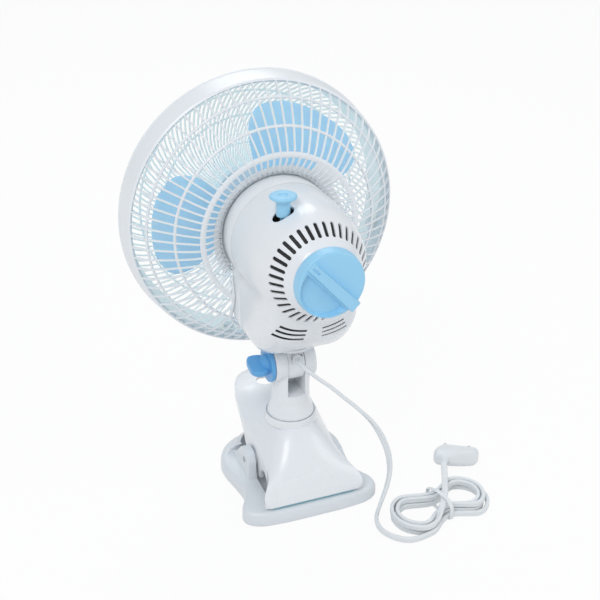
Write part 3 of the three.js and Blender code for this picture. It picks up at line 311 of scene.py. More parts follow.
def block(x, y, z):
    points = [(a, b, c) for a in x for b in y for c in z]
    faces = [(0, 1, 3, 2), (4, 6, 7, 5), (0, 4, 5, 1), (2, 3, 7, 6), (0, 2, 6, 4), (1, 5, 7, 3)]
    return from_data("block", points, faces)


def prism(outline, start, end, axis="z"):
    """An outline raised along an axis; along x it is drawn in y and z."""
    place = {"z": lambda a, b, h: (a, b, h), "x": lambda a, b, h: (h, a, b)}[axis]
    return loft("prism", [[place(a, b, h) for a, b in outline] for h in (start, end)])


def arc(cx, cy, r, start, end, steps):
    turns = [math.radians(start + (end - start) * i / steps) for i in range(steps + 1)]
    return [(cx + r * math.cos(a), cy + r * math.sin(a)) for a in turns]


def shifted(piece, matrix):
    piece.data.transform(matrix)
    return piece


def joined(name, pieces):
    """Several loose bodies as one piece, without a boolean."""
    shape = bmesh.new()
    for piece in pieces:
        shape.from_mesh(piece.data)
        bpy.data.objects.remove(piece)
    mesh = bpy.data.meshes.new(name)
    shape.to_mesh(mesh)
    shape.free()
    whole = bpy.data.objects.new(name, mesh)
    bpy.context.scene.collection.objects.link(whole)
    return whole


def shaped(name, body, add=(), cut=(), edge=0.35):
    """Joins and cuts by boolean, then rounds the sharp edges."""
    body.name = name
    for group, how in ((add, "UNION"), (cut, "DIFFERENCE")):
        for tool in group:
            change = body.modifiers.new("change", "BOOLEAN")
            change.operation = how
            change.solver = "EXACT"
            change.object = tool
    if edge:
        bevel = body.modifiers.new("edge", "BEVEL")
        bevel.width = edge * MM
        bevel.segments = 2
        bevel.limit_method = "ANGLE"
        bevel.angle_limit = math.radians(42)
    graph = bpy.context.evaluated_depsgraph_get()
    mesh = bpy.data.meshes.new_from_object(body.evaluated_get(graph))
    body.modifiers.clear()
    mesh.validate()
    body.data = mesh
    for tool in (*add, *cut):
        bpy.data.objects.remove(tool)
    return body


def between(table, y):
    """The row of a table of (y, ...) at y, smoothly through its rows."""
    rows = sorted(table)
    if y <= rows[0][0]:
        return rows[0][1:]
    if y >= rows[-1][0]:
        return rows[-1][1:]
    k = max(i for i, row in enumerate(rows) if row[0] <= y)
    a, b = rows[k], rows[min(k + 1, len(rows) - 1)]
    before, after = rows[max(k - 1, 0)], rows[min(k + 2, len(rows) - 1)]
    span = b[0] - a[0]
    t = (y - a[0]) / span
    result = []
    for n in range(1, len(a)):
        rise = b[n] - a[n]
        slope_a = (b[n] - before[n]) / (b[0] - before[0]) * span
        slope_b = (after[n] - a[n]) / (after[0] - a[0]) * span
        if rise == 0:
            slope_a = slope_b = 0
        else:
            slope_a = max(0, min(3, slope_a / rise)) * rise
            slope_b = max(0, min(3, slope_b / rise)) * rise
        h = 2 * t**3 - 3 * t**2
        result.append(
            a[n] * (1 + h)
            - b[n] * h
            + slope_a * (t**3 - 2 * t**2 + t)
            + slope_b * (t**3 - t**2)
        )
    return tuple(result)


# ---------------------------------------------------------------- camera
EYE = Vector((238.4, 617.3, 485.5)) * MM
RIGHT = Vector((-0.933, 0.36, 0))
AHEAD = Vector((-0.321, -0.83, -0.456))
FOCAL_PX = 1032.9
MIDDLE_PX = (290.56, 309.8)
FRAME_PX = 600

camera = bpy.data.objects.new("camera", bpy.data.cameras.new("camera"))
bpy.context.scene.collection.objects.link(camera)
camera.data.sensor_width = 36
camera.data.lens = FOCAL_PX / FRAME_PX * camera.data.sensor_width
camera.data.shift_x = (FRAME_PX / 2 - MIDDLE_PX[0]) / FRAME_PX
camera.data.shift_y = (MIDDLE_PX[1] - FRAME_PX / 2) / FRAME_PX
camera.data.clip_start = 0.01
camera.data.clip_end = 20
side = RIGHT.normalized()
back = -AHEAD.normalized()
up = back.cross(side).normalized()
camera.matrix_world = Matrix.Translation(EYE) @ Matrix((side, up, back)).transposed().to_4x4()
bpy.context.scene.camera = camera

# ---------------------------------------------------------------- cord
# The route repeats the solids' points. flat is 0 with the cord on edge and 1 lying flat.
CORD_EXIT = (0, 14.6, 112.4)
CORD_ROUTE = [
    CORD_EXIT,
    (0, 18.6, 112.3),
    (-3.5, 23, 108.4),
    (-11, 25.2, 101),
    (-20.9, 27, 92.3),
    (-30.7, 29.4, 82.4),
    (-41.7, 32, 71.3),
    (-51.4, 34.6, 60),
    (-57.8, 37, 49),
    (-61.9, 39.6, 38.5),
    (-63.6, 42.6, 28.8),
    (-62.6, 46.6, 20),
    (-58.4, 51.6, 11.4),
    (-51.6, 58, 4.8),
    (-44.6, 66, 2.6),
    (-38.4, 76, 2.6),
    (-36.6, 87, 2.6),
    (-41.4, 98, 2.6),
    (-52, 105.6, 2.6),
]
HANK_CENTRE = (-88, 80)
HANK_ANGLE = 190
HANK_HALF = 20
HANK_INNER = 13
HANK_STEP = 4.1
HANK_LAYER = 5.3
HANK_WAIST = 9
HANK_SPIRAL = 2
TIE_ROOM = 1.1
HANK_LEAVES = [
    (-15.8, 17.9, 9.6, 0.3),
    (-12, 15.2, 12.2, 0.7),
    (-7.5, 11.6, 13.8, 1),
    (-1.5, 6.2, 13.8, 1),
    (5, -0.4, 13.8, 1),
    (11, -8, 13.8, 1),
    (17, -15.6, 13.4, 1),
]
PLUG_CENTRE = (-125.5, 37.5, 10.7)
PLUG_YAW = 238
PLUG_DIP = 17
PLUG_BOOT = 8.5
PLUG_DEPTH = 20
PIN_AT = 9.5
PLUG_PLACE = (
    Matrix.Translation(Vector(PLUG_CENTRE) * MM)
    @ Matrix.Rotation(math.radians(PLUG_YAW), 4, "Z")
    @ Matrix.Rotation(math.radians(PLUG_DIP), 4, "Y")
)


def on_hank(u, v, z):
    turn = math.radians(HANK_ANGLE)
    return (
        HANK_CENTRE[0] + u * math.cos(turn) + v * math.sin(turn),
        HANK_CENTRE[1] + u * math.sin(turn) - v * math.cos(turn),
        z,
    )


def loop_point(share, track, z):
    """A point of the hank: how far round, which track from the middle, and how high."""
    r = HANK_INNER + HANK_STEP * track
    run, bend = 2 * HANK_HALF, math.pi * r
    s = (share % 1) * 2 * (run + bend)
    if s < run:
        u, v = s - HANK_HALF, r
    elif s < run + bend:
        a = math.pi / 2 - (s - run) / r
        u, v = HANK_HALF + r * math.cos(a), r * math.sin(a)
    elif s < 2 * run + bend:
        u, v = HANK_HALF - (s - run - bend), -r
    else:
        a = -math.pi / 2 - (s - 2 * run - bend) / r
        u, v = -HANK_HALF + r * math.cos(a), r * math.sin(a)
    reach = HANK_HALF + 6
    pull = math.cos(math.pi * u / (2 * reach)) ** 2 if abs(u) < reach else 0
    return on_hank(u, v - math.copysign(HANK_WAIST * pull, v), z + TIE_ROOM * pull)


def cord_flat(number):
    """The share of a quarter turn from on edge to flat, at a point of the route."""
    return between([(0, 0.83), (6, 0.83), (9, -0.3), (12, -0.4), (15, 0), (30, 0)], number)[0]


def cord_knots():
    """The cord's points from the grommet to the plug, each with its share of flat."""
    low = CORD_WIDE / 2 + 0.2
    knots = [(*p, cord_flat(i)) for i, p in enumerate(CORD_ROUTE)]
    steps = 36
    start, climb = 0.1, 0.1 + HANK_SPIRAL
    out = climb + 0.2
    for i in range(2 * HANK_SPIRAL * steps + 1):
        share = i / steps
        track = HANK_SPIRAL - min(max(share - start, 0), HANK_SPIRAL) + max(0, share - out)
        rise = HANK_LAYER * min(max((share - climb) / (out - climb), 0), 1)
        knots.append((*loop_point(share, track, low + rise), 0))
    knots += [(*on_hank(u, v, z), flat) for u, v, z, flat in HANK_LEAVES]
    boot = -PLUG_DEPTH / 2 - 4.6
    for back_off in (CORD_WIDE * 1.6, 0):
        p = PLUG_PLACE @ (Vector((boot - back_off, PLUG_BOOT, 0)) * MM) / MM
        knots.append((*p, 1))
    return knots


def eased(knots, spacing=1.6):
    """A smooth line through the knots, in even steps."""
    line = []
    for k in range(len(knots) - 1):
        p = [Vector(knots[min(max(k + n, 0), len(knots) - 1)]) for n in (-1, 0, 1, 2)]
        count = max(1, round((p[2] - p[1]).length / spacing))
        gaps = [max(0.3, (p[i + 1].xyz - p[i].xyz).length ** 0.5) for i in range(3)]
        m1 = ((p[1] - p[0]) / gaps[0] - (p[2] - p[0]) / (gaps[0] + gaps[1])) * gaps[1]
        m1 = m1 + (p[2] - p[1])
        m2 = ((p[3] - p[2]) / gaps[2] - (p[3] - p[1]) / (gaps[1] + gaps[2])) * gaps[1]
        m2 = (p[2] - p[1]) + m2
        if k == 0:
            m1 = p[2] - p[1]
        if k == len(knots) - 2:
            m2 = p[2] - p[1]
        for i in range(count):
            t = i / count
            line.append(
                p[1] * (2 * t**3 - 3 * t**2 + 1)
                + m1 * (t**3 - 2 * t**2 + t)
                + p[2] * (3 * t**2 - 2 * t**3)
                + m2 * (t**3 - t**2)
            )
    line.append(Vector(knots[-1]))
    return line


def twin_section():
    """The flat twin cord's outline: two round leads side by side, with a groove between."""
    lead = CORD_THICK / 2
    apart = CORD_WIDE / 2 - lead
    right = arc(apart, 0, lead, -128, 128, 9)
    left = arc(-apart, 0, lead, 52, 308, 9)
    return right + left


def power_cord():
    line = eased([Vector(k) for k in cord_knots()])
    section = twin_section()
    points, rings = [], len(line)
    for i, knot in enumerate(line):
        ahead = (line[min(i + 1, rings - 1)].xyz - line[max(i - 1, 0)].xyz).normalized()
        level = Vector((ahead.y, -ahead.x, 0)).normalized()
        rise = level.cross(ahead)
        turn = math.radians(90) * min(1, knot.w)
        wide = rise * math.cos(turn) + level * math.sin(turn)
        deep = level * math.cos(turn) - rise * math.sin(turn)
        points += [knot.xyz + wide * a + deep * b for a, b in section]
    count = len(section)
    faces = grid_faces(rings, count)
    faces += [tuple(range(count)), tuple(range((rings - 1) * count, rings * count))]
    piece = from_data("power_cord", points, faces)
    path = [tuple(p.xyz * MM) for p in line]
    length = sum((Vector(a) - Vector(b)).length for a, b in zip(path, path[1:]))
    return piece, path, length


cord_piece, cord_path, cord_length = power_cord()
dress(cord_piece, "clamp_base", "cord_white", "cord_stretch", "cord_hank", "cord_tail")

# ---------------------------------------------------------------- plug and tie
def plug():
    """The plug's body: a soft-cornered block with a stepped back and the cord's boot."""
    def outline(x, half, high, corner, middle):
        points = []
        for cx, cy, start in ((1, 1, 0), (-1, 1, 90), (-1, -1, 180), (1, -1, 270)):
            at = middle + cx * (half - corner), cy * (high - corner)
            points += arc(*at, corner, start, start + 90, 8)
        return [(x, a, b) for a, b in points]

    rings = [
        outline(-10.0, 5.2, 3.2, 2.6, 9.6),
        outline(-9.6, 6.0, 4.2, 3.4, 9.8),
        outline(-8, 7.6, 5.2, 4.2, 9.4),
        outline(-5, 10.6, 6, 4.6, 6.8),
        outline(-1, 14.2, 6.6, 4.6, 3.2),
        outline(2.6, 16.4, 6.75, 4.6, 0.2),
        outline(6.6, 16.2, 6.75, 4.4, -1.2),
        outline(6.9, 15.8, 6.4, 4.2, -1.3),
        outline(7.4, 15.6, 6.4, 4.2, -1.5),
        outline(7.8, 15.8, 6.75, 4.4, -1.6),
        outline(9.5, 15.2, 6.7, 4.2, -2.0),
        outline(10, 14.7, 6.2, 3.8, -2.0),
    ]
    body = loft("plug", rings)
    boot = turned(
        "boot",
        "x",
        rounded([(0, -14.3), (3.1, -14.3), (3.3, -11.2), (4.3, -8.5), (0, -6)], 0.5),
        48,
        (0, PLUG_BOOT, 0),
    )
    collars = [rod("x", 3.4, 9.2, 10.6, (0, side * PIN_AT, 0), 40, 0.4) for side in (-1, 1)]
    whole = shaped("plug_shell", body, [boot, *collars], edge=0.25)
    return shifted(whole, PLUG_PLACE)


def plug_pin(number):
    side = (-1, 1)[number - 1] * PIN_AT
    pin = turned(
        f"pin_{number}",
        "x",
        rounded([(0, 9.8), (2, 9.8), (2, 27.2), (1.2, 29), (0, 29)], 0.6),
        40,
        (0, side, 0),
    )
    return shifted(pin, PLUG_PLACE)


def cord_tie():
    """The band round the hank's waist, pulled snug."""
    outline = [(-14.4, 1.2), (14.4, 1.2), (14.4, 11.6), (9.8, 15.9), (-3.2, 15.9), (-14.4, 11.8)]
    points = []
    for k, (v, z) in enumerate(outline):
        before, after = Vector(outline[k - 1]), Vector(outline[(k + 1) % len(outline)])
        here = Vector((v, z))
        a = here + (before - here).normalized() * 1.6
        b = here + (after - here).normalized() * 1.6
        for i in range(5):
            t = i / 4
            points.append(a * (1 - t) ** 2 + here * 2 * t * (1 - t) + b * t * t)
    rings = []
    for u in (-1.6, -1.4, 1.4, 1.6):
        grow = 0.5 if abs(u) < 1.5 else 0.25
        rings.append([(p, grow, u) for p in points])
    mesh_points, faces = [], []
    middle = Vector((0, 8))
    count = len(points)
    for inner in (True, False):
        for ring in rings:
            for p, grow, u in ring:
                out = (p - middle).normalized() * (-0.3 if inner else grow)
                q = p + out
                mesh_points.append(on_hank(u, q.x, q.y))
    for layer in (0, 4):
        faces += grid_faces(4, count, True, layer * count)
    for k in (0, 3):
        for i in range(count):
            j = (i + 1) % count
            faces.append((k * count + i, k * count + j, (k + 4) * count + j, (k + 4) * count + i))
    return from_data("hank_tie", mesh_points, faces)


plug_piece = dress(plug(), "clamp_base", "cord_white", "plug_body")
pin_pieces = [dress(plug_pin(n), "clamp_base", "steel", f"plug_pin_{n}") for n in (1, 2)]
tie_piece = dress(cord_tie(), "clamp_base", "cord_white", "cord_tie")


# ---------------------------------------------------------------- housing
def keyhole(radius, share, bottom):
    """The housing's outline as (x, z): a circle over a squarer skirt."""
    low = -math.degrees(SKIRT_ANGLE)
    round_steps, corner_steps, skirt_steps = KEYHOLE_STEPS
    top = arc(0, 0, radius, low, 180 - low, round_steps)
    corner = min(SKIRT_CORNER, (abs(bottom) - 22) * 0.9)
    half = radius * math.cos(SKIRT_ANGLE)
    skirt = (
        [(-half, z) for z in (-30, -38, -46) if z > bottom + corner]
        + arc(-half + corner, bottom + corner, corner, 180, 270, corner_steps)
        + [(0, bottom)]
        + arc(half - corner, bottom + corner, corner, 270, 360, corner_steps)
        + [(half, z) for z in (-46, -38, -30) if z > bottom + corner]
    )
    skirt = even(skirt, skirt_steps)
    lower = []
    for i, (x, z) in enumerate(skirt):
        a = math.radians(180 - low + (180 + 2 * low) * (i + 1) / (len(skirt) + 1))
        lower.append(
            (
                radius * math.cos(a) * (1 - share) + x * share,
                radius * math.sin(a) * (1 - share) + z * share,
            )
        )
    return top + lower


def even(line, count):
    """The same line in evenly spaced points."""
    steps = [0]
    for a, b in zip(line, line[1:]):
        steps.append(steps[-1] + math.dist(a, b))
    result, k = [], 0
    for i in range(count):
        s = steps[-1] * i / (count - 1)
        while k < len(line) - 2 and steps[k + 1] < s:
            k += 1
        span = steps[k + 1] - steps[k] or 1
        t = (s - steps[k]) / span
        result.append(tuple(a + (b - a) * t for a, b in zip(line[k], line[k + 1])))
    return result


def shell(inset, start, end, steps, grow=0):
    """The rear housing's form between two values of y."""
    rings = []
    for i in range(steps + 1):
        y = start + (end - start) * i / steps
        radius, share, bottom = between(SHELL, y - grow)
        rings.append(
            [(x, y, z + HEAD_Z) for x, z in keyhole(radius - inset, share, bottom + inset)]
        )
    return loft("shell", rings)


def vent_tools():
    tools = []
    outline = arc(VENT_RUN, 0, VENT_END_R, -90, 90, 6) + arc(-VENT_RUN, 0, VENT_END_R, 90, 270, 6)
    for i in range(VENTS):
        slot = prism(outline, -5, 5)
        turn = math.radians((i + 0.5) * 360 / VENTS)
        place = (
            Matrix.Translation((0, 0, HEAD_Z * MM))
            @ Matrix.Rotation(-turn, 4, "Y")
            @ Matrix.Translation((VENT_AT[0] * MM, VENT_AT[1] * MM, 0))
            @ Matrix.Rotation(VENT_SLOPE, 4, "Z")
            @ Matrix.Rotation(math.radians(90), 4, "X")
        )
        tools.append(shifted(slot, place))
    for r in LOW_VENTS:
        for start, end, half in LOW_VENT_ARCS:
            outline = arc(0, 0, r + half, start, end, 14) + arc(0, 0, r - half, end, start, 14)
            rings = [[(x, y, z + HEAD_Z) for x, z in outline] for y in (30, 60)]
            tools.append(loft("slot", rings))
    return [joined("vents", tools)]


def spigot_hole():
    """The hole through which the neck's spigot enters the housing."""
    return rod("z", SPIGOT_HOLE_R, HEAD_Z - 82, HEAD_Z - 70, (0, 0, 0), 48, 0)


def rear_housing():
    outer = shell(0, SEAM_Y + 0.15, 66, 44)
    inner = shell(WALL, SEAM_Y - 2, 63.8, 44, -1)
    long_hole = arc(1.8, 0, 5.6, -90, 90, 12) + arc(-1.8, 0, 5.6, 90, 270, 12)
    pull_outline = [(PULL_AT[0] + x, PULL_AT[1] + y) for x, y in long_hole]
    pull_hole = prism(pull_outline, HEAD_Z + 20, HEAD_Z + 60)
    stem = rod("y", 4.4, 50, 80, (0, 0, HEAD_Z), 32, 0)
    cuts = [inner, *vent_tools(), pull_hole, spigot_hole(), stem]
    return shaped("housing_rear", outer, [], cuts, 0.3)


def front_housing():
    def ring(y, inset):
        line = keyhole(HOUSING_R - inset, 1, SKIRT_BOTTOM + inset)
        return [(x, y, z + HEAD_Z) for x, z in line]

    insets = ((-26, 1.2), (-25.4, 0.4), (-24.4, 0), (SEAM_Y - 1.2, 0), (SEAM_Y - 0.5, 0.5))
    outer = loft("front", [ring(y, inset) for y, inset in insets])
    inner = loft("inner", [ring(y, WALL) for y in (-23.8, 0)])
    hole = rod("y", 9, -30, -20, (0, 0, HEAD_Z), 48, 0)
    return shaped("housing_front", outer, [], [inner, hole, spigot_hole()], 0)


def vent_shade_sleeve():
    """A dark sleeve against the inside of the wall, so that the vents show black: painted shade,
    standing for the shaded inside of the housing.
    """
    outer = shell(WALL + SHADE_SLEEVE_GAP, 45, 62.6, 24)
    inner = shell(WALL + SHADE_SLEEVE_GAP + SHADE_SLEEVE_WALL, 44, 63.6, 24)
    stem = rod("y", 12, 40, 80, (0, 0, HEAD_Z), 32, 0)
    return shaped("painted_shade_sleeve", outer, [], [inner, stem], 0)


dress(rear_housing(), "head", "white_shell", "rear_housing")
# A dark sleeve behind the vents: painted shade.
dress(vent_shade_sleeve(), "head", "dark_plastic")
dress(front_housing(), "head", "white_shell", "front_housing")


# ---------------------------------------------------------------- grilles
def strand(points, wide, deep, outward):
    """A bar of oval section along points, wide across and deep along outward."""
    rings = []
    for i, p in enumerate(points):
        here = Vector(p)
        ahead = (
            Vector(points[min(i + 1, len(points) - 1)]) - Vector(points[max(i - 1, 0)])
        ).normalized()
        out = Vector(outward(p))
        out = (out - ahead * out.dot(ahead)).normalized()
        across = ahead.cross(out)
        ring = []
        for k in range(8):
            a = TAU * (k + 0.5) / 8
            side = across * math.cos(a) * wide / 2
            ring.append(tuple(here + side + out * math.sin(a) * deep / 2))
        rings.append(ring)
    return rings


def bars(name, strands):
    points, faces = [], []
    for rings in strands:
        count = len(rings[0])
        start = len(points)
        points += [p for ring in rings for p in ring]
        faces += grid_faces(len(rings), count, True, start)
        last = start + (len(rings) - 1) * count
        faces += [tuple(range(start, start + count)), tuple(range(last, last + count))]
    return from_data(name, points, faces)


REAR_LINE = [(-25.5, 42.2), (-22, 46), (-18.4, 52), (-17.3, 57.8), (-19.3, 63.5), (-26.7, 75.4),
             (-40, 92.2), (-46.5, 97.6), (-53.5, 101.9)]


# The solid collar round the housing, and the angles where it reaches the widest ring.
COLLAR_EDGE = 49.3
COLLAR_INNER = 41.7
COLLAR_FLANGE = 37.5
COLLAR_WALL = 1.4
COLLAR_ARC = (-32, 212)
RIB_START, RIB_END = 42.4, 102
PANEL_ANGLES = (119, 142)


def rear_y(r):
    """The y of the rear grille's surface at a radius."""
    line = sorted((b, a) for a, b in REAR_LINE)
    return between(line, r)[0]


def inside_keyhole(x, z, grow):
    """Whether a point lies within the housing's outline, grown by some mm."""
    half = HOUSING_R * math.cos(SKIRT_ANGLE) + grow
    if math.hypot(x, z) < HOUSING_R + grow:
        return True
    bottom = SKIRT_BOTTOM - grow
    if z > 0 or abs(x) > half or z < bottom:
        return False
    corner = SKIRT_CORNER
    dx, dz = abs(x) - (half - corner), (bottom + corner) - z
    return not (dx > 0 and dz > 0 and math.hypot(dx, dz) > corner)


def head_point(r, y, angle):
    return (r * math.cos(angle), y, r * math.sin(angle) + HEAD_Z)


def plate(start, end, inner, outer, steps):
    """A solid panel of the rear grille between two radii and two angles."""
    radii = [inner + (outer - inner) * k / 4 for k in range(5)]
    rings = []
    for i in range(steps + 1):
        angle = math.radians(start + (end - start) * i / steps)
        top = [head_point(r, rear_y(r) - 0.5, angle) for r in radii]
        low = [head_point(r, rear_y(r) - 2, angle) for r in reversed(radii)]
        rings.append(top + low)
    return loft("plate", rings)


def wall(start, end, steps):
    """The collar's inner edge, with a flange that runs in before the housing's front."""
    rings = []
    front = rear_y(REAR_LINE[0][1]) - 1
    for i in range(steps + 1):
        angle = math.radians(start + (end - start) * i / steps)
        outer = COLLAR_INNER + COLLAR_WALL
        corners = ((COLLAR_INNER, front), (outer, front), (outer, front - 2.6),
                   (COLLAR_FLANGE, front - 2.6), (COLLAR_FLANGE, front - 1.2),
                   (COLLAR_INNER, front - 1.2))
        rings.append([head_point(r, y, angle) for r, y in corners])
    return loft("wall", rings)


def rear_grille():
    strands = []
    outward = lambda p: (p[0], 40, p[2] - HEAD_Z)
    for i in range(RIBS):
        angle = TAU * i / RIBS
        points = []
        for k in range(41):
            r = RIB_START + (RIB_END - RIB_START) * k / 40
            x, z = r * math.cos(angle), r * math.sin(angle)
            if not inside_keyhole(x, z, 0.4):
                points.append(head_point(r, rear_y(r) - 1.1, angle))
        strands.append(strand(points, 1.5, 2.2, outward))
    for r, y, wide in REAR_RINGS:
        arcs = [[]]
        for k in range(241):
            angle = TAU * k / 240
            if inside_keyhole(r * math.cos(angle), r * math.sin(angle), 0.4):
                if arcs[-1]:
                    arcs.append([])
            else:
                arcs[-1].append(head_point(r, y - 1.2, angle))
        for points in arcs:
            if len(points) > 2:
                strands.append(strand(points, wide, 2.4, lambda p: (0, 1, 0)))
    edge = []
    for x, z in keyhole(HOUSING_R + 1.7, 1, SKIRT_BOTTOM - 1.7):
        r = math.hypot(x, z)
        if z < -18 and r > 44:
            edge.append((x, rear_y(min(r, 101)) - 1.3, z + HEAD_Z))
    strands.append(strand(edge, 2.4, 2.6, lambda p: (0, 1, 0)))
    ribs = bars("rear_ribs", strands)
    profile = [
        (101.2, -51.6), (102.6, -52.6), (103.9, -60), (105, -68), (105, -71.5), (102.9, -71.5),
        (102.4, -66), (100.6, -57), (99.6, -53.6), (101.2, -51.6),
    ]
    band = turned("band", "y", profile, 180, (0, 0, HEAD_Z))
    lip = turned("lip", "y", [(104.2, -69.2), (105.4, -69.8), (105.4, -71.5), (104.2, -71.5),
                              (104.2, -69.2)], 180, (0, 0, HEAD_Z))
    collar = plate(*COLLAR_ARC, COLLAR_INNER, COLLAR_EDGE, 160)
    panel = plate(*PANEL_ANGLES, COLLAR_EDGE - 0.5, 57.5, 24)
    edge_wall = wall(*COLLAR_ARC, 160)
    return joined("grille_rear", [ribs, band, lip, collar, panel, edge_wall])


FRONT_LINE = [(-84, 99.6), (-90.5, 88), (-94.5, 66), (-96.5, 44), (-97, 25)]
FRONT_START, FRONT_END = 25, 99.5
FRONT_RINGS = (44, 66, 85)
FRONT_SWIRL = 0.55  # in radians


def front_grille():
    strands = []
    line = sorted((b, a) for a, b in FRONT_LINE)
    outward = lambda p: (p[0] * 0.3, -40, (p[2] - HEAD_Z) * 0.3)
    for i in range(FRONT_RIBS):
        points = []
        for k in range(13):
            r = FRONT_START + (FRONT_END - FRONT_START) * k / 12
            angle = TAU * i / FRONT_RIBS + FRONT_SWIRL * ((r - FRONT_START) / 75) ** 1.3
            points.append(head_point(r, between(line, r)[0] + 1.0, angle))
        strands.append(strand(points, 1.5, 2.2, outward))
    for r in FRONT_RINGS:
        y = between(line, r)[0]
        points = [head_point(r, y + 1.2, TAU * k / 180) for k in range(181)]
        strands.append(strand(points, 1.8, 2, lambda p: (0, -1, 0)))
    ribs = bars("front_ribs", strands)
    hub = turned("hub", "y", [(24.3, -96.9), (28, -96.9), (28, -94.6), (24.3, -94.6),
                              (24.3, -96.9)], 96, (0, 0, HEAD_Z))
    profile = [
        (99, -84.6), (101.6, -80.6), (104.2, -76), (105, -73.4), (105, -72.1), (102.8, -72.1),
        (101.8, -76), (99.4, -80), (97, -83), (99, -84.6),
    ]
    band = turned("band", "y", profile, 180, (0, 0, HEAD_Z))
    return joined("grille_front", [ribs, hub, band])


dress(rear_grille(), "head", "white_grille", "rear_grille")
# The front grille wears the faintly glowing copy of the grille white: painted light.
dress(front_grille(), "head", "painted_glow_grille", "front_grille")


# ---------------------------------------------------------------- blades
BLADE_TURN = 0
BLADE_SPAN = [(14, 27), (34, 35), (60, 37), (76, 33), (82, 27.5), (85, 18)]


def fan_blade():
    across, along = 18, 20
    parts = []
    slope = math.tan(math.radians(BLADE_PITCH))
    for n in range(BLADES):
        points = []
        for k in range(along + 1):
            r = BLADE_START + (BLADE_R - BLADE_START) * (k / along) ** 0.9
            half = between(BLADE_SPAN, r)[0]
            for i in range(across + 1):
                swing = math.radians(-half + 2 * half * i / across)
                lift = math.sin(swing) * r * slope * (40 / (r + 8))
                angle = swing + math.radians(BLADE_TURN + 360 / BLADES * n)
                x, z = r * math.cos(angle), r * math.sin(angle) + HEAD_Z
                points.append((x, BLADE_Y + lift, z))
        faces = grid_faces(along + 1, across + 1, False)
        wing = from_data("wing", points, faces)
        thick = wing.modifiers.new("thick", "SOLIDIFY")
        thick.thickness = BLADE_THICK * MM
        thick.offset = 0
        edge = wing.modifiers.new("edge", "BEVEL")
        edge.width = 0.5 * MM
        edge.segments = 2
        edge.limit_method = "ANGLE"
        graph = bpy.context.evaluated_depsgraph_get()
        wing.data = bpy.data.meshes.new_from_object(wing.evaluated_get(graph))
        wing.modifiers.clear()
        parts.append(wing)
    hub = turned(
        "hub",
        "y",
        rounded([(3.3, -69), (13, -69), (16.2, -66.4), (17, -45), (14.6, -45), (14.4, -63),
                 (6, -65), (6, -47), (3.3, -47), (3.3, -69)], 0.8),
        96,
        (0, 0, HEAD_Z),
    )
    return joined("blades", [*parts, hub])


dress(fan_blade(), "rotor", "blue_blade", "fan_blade")
nut_profile = rounded([(0, -76.4), (7.6, -76.4), (8.8, -74), (9, -70), (0, -70)], 0.8)
spinner = turned("nut", "y", nut_profile, 64, (0, 0, HEAD_Z))
dress(spinner, "rotor", "blue_blade", "spinner_nut")


# ---------------------------------------------------------------- knobs
def speed_knob():
    profile = [(0, 66.3), (23.6, 66.3), (24, 67.2), (23.2, 73.8), (22.2, 74.6), (0, 74.6)]
    dish = turned("knob", "y", rounded(profile, 0.6), 128, (0, 0, HEAD_Z))
    angle = math.radians(47)
    turn = Matrix.Translation((0, 0, HEAD_Z * MM)) @ Matrix.Rotation(-angle, 4, "Y")
    outline = [(-22.6, -4.2), (22.4, -3.2), (22.4, 3.2), (-22.6, 4.2)]
    bar = loft("bar", [
        [(x, 68, z * 1.1) for x, z in outline],
        [(x, 77, z) for x, z in outline],
        [(x * 0.975, 79.2, z * 0.9) for x, z in outline],
    ])
    shifted(bar, turn)
    low = arc(0, 0, 20.4, 184, 356, 24)
    scoop = loft("scoop", [
        [(x * 0.86, 71.4, z * 0.8 - 4.6) for x, z in low],
        [(x, 76, z - 3.7) for x, z in low],
    ])
    shifted(scoop, turn)
    notch = loft("notch", [[(16, y, -0.8), (23.5, y, -0.8), (23.5, y, 0.8), (16, y, 0.8)]
                           for y in (78.4, 80)])
    shifted(notch, turn)
    stem = rod("y", 3.6, 58, 68, (0, 0, HEAD_Z), 32, 0)
    return shaped("dial", dish, [bar, stem], [scoop, notch], 0.5)


def pull_knob():
    profile = [
        (0, 24.6), (2.2, 24.6), (2.2, 34), (4.6, 34), (4.8, 43.4), (6.4, 45.4), (9.2, 46.6),
        (9.3, 48.2), (8.2, 49), (3.2, 49), (2.4, 47.8), (0, 47.6),
    ]
    return turned("pull", "z", rounded(profile, 0.7), 80, (*PULL_AT, HEAD_Z))


def wing_knob():
    start = 15.9
    disc = rod("x", 13.5, start, start + 3, (0, 0, TILT_Z), 96, 0.7)
    profile = [(0, 2), (8, 2), (7.6, 4.4), (5, 7.4), (3, 8.4), (0, 8.6)]
    profile = rounded([(r, start + x) for r, x in profile], 1.4)
    dome = turned("dome", "x", profile, 64, (0, 0, TILT_Z))
    outline = [(-9.6, 2), (9.6, 2), (10.6, 8), (9.4, 12), (5.5, 14.6), (-6.5, 14.6), (-10, 12),
               (-10.6, 8)]
    fine = []
    for k, here in enumerate(outline):
        a, b, c = Vector(outline[k - 1]), Vector(here), Vector(outline[(k + 1) % 8])
        p, q = b.lerp(a, 0.3), b.lerp(c, 0.3)
        for t in (0, 0.33, 0.66, 1):
            fine.append(tuple(p * (1 - t) ** 2 + b * 2 * t * (1 - t) + q * t * t))
    rings = []
    for z, k in ((-2.2, 0.93), (-1.7, 0.99), (0, 1), (1.7, 0.99), (2.2, 0.93)):
        rings.append([(start + 2 + x, y * k, z) for y, x in fine])
    fin = loft("fin", rings)
    turn = Matrix.Rotation(math.radians(-12), 4, "X")
    shifted(fin, Matrix.Translation((0, 0, TILT_Z * MM)) @ turn)
    return shaped("wing", disc, [dome, fin], edge=0.5)


dress(speed_knob(), "knob", "blue_knob", "speed_knob")
dress(pull_knob(), "pull", "blue_knob", "pull_knob")
dress(wing_knob(), "wing", "deep_blue_knob", "wing_knob")


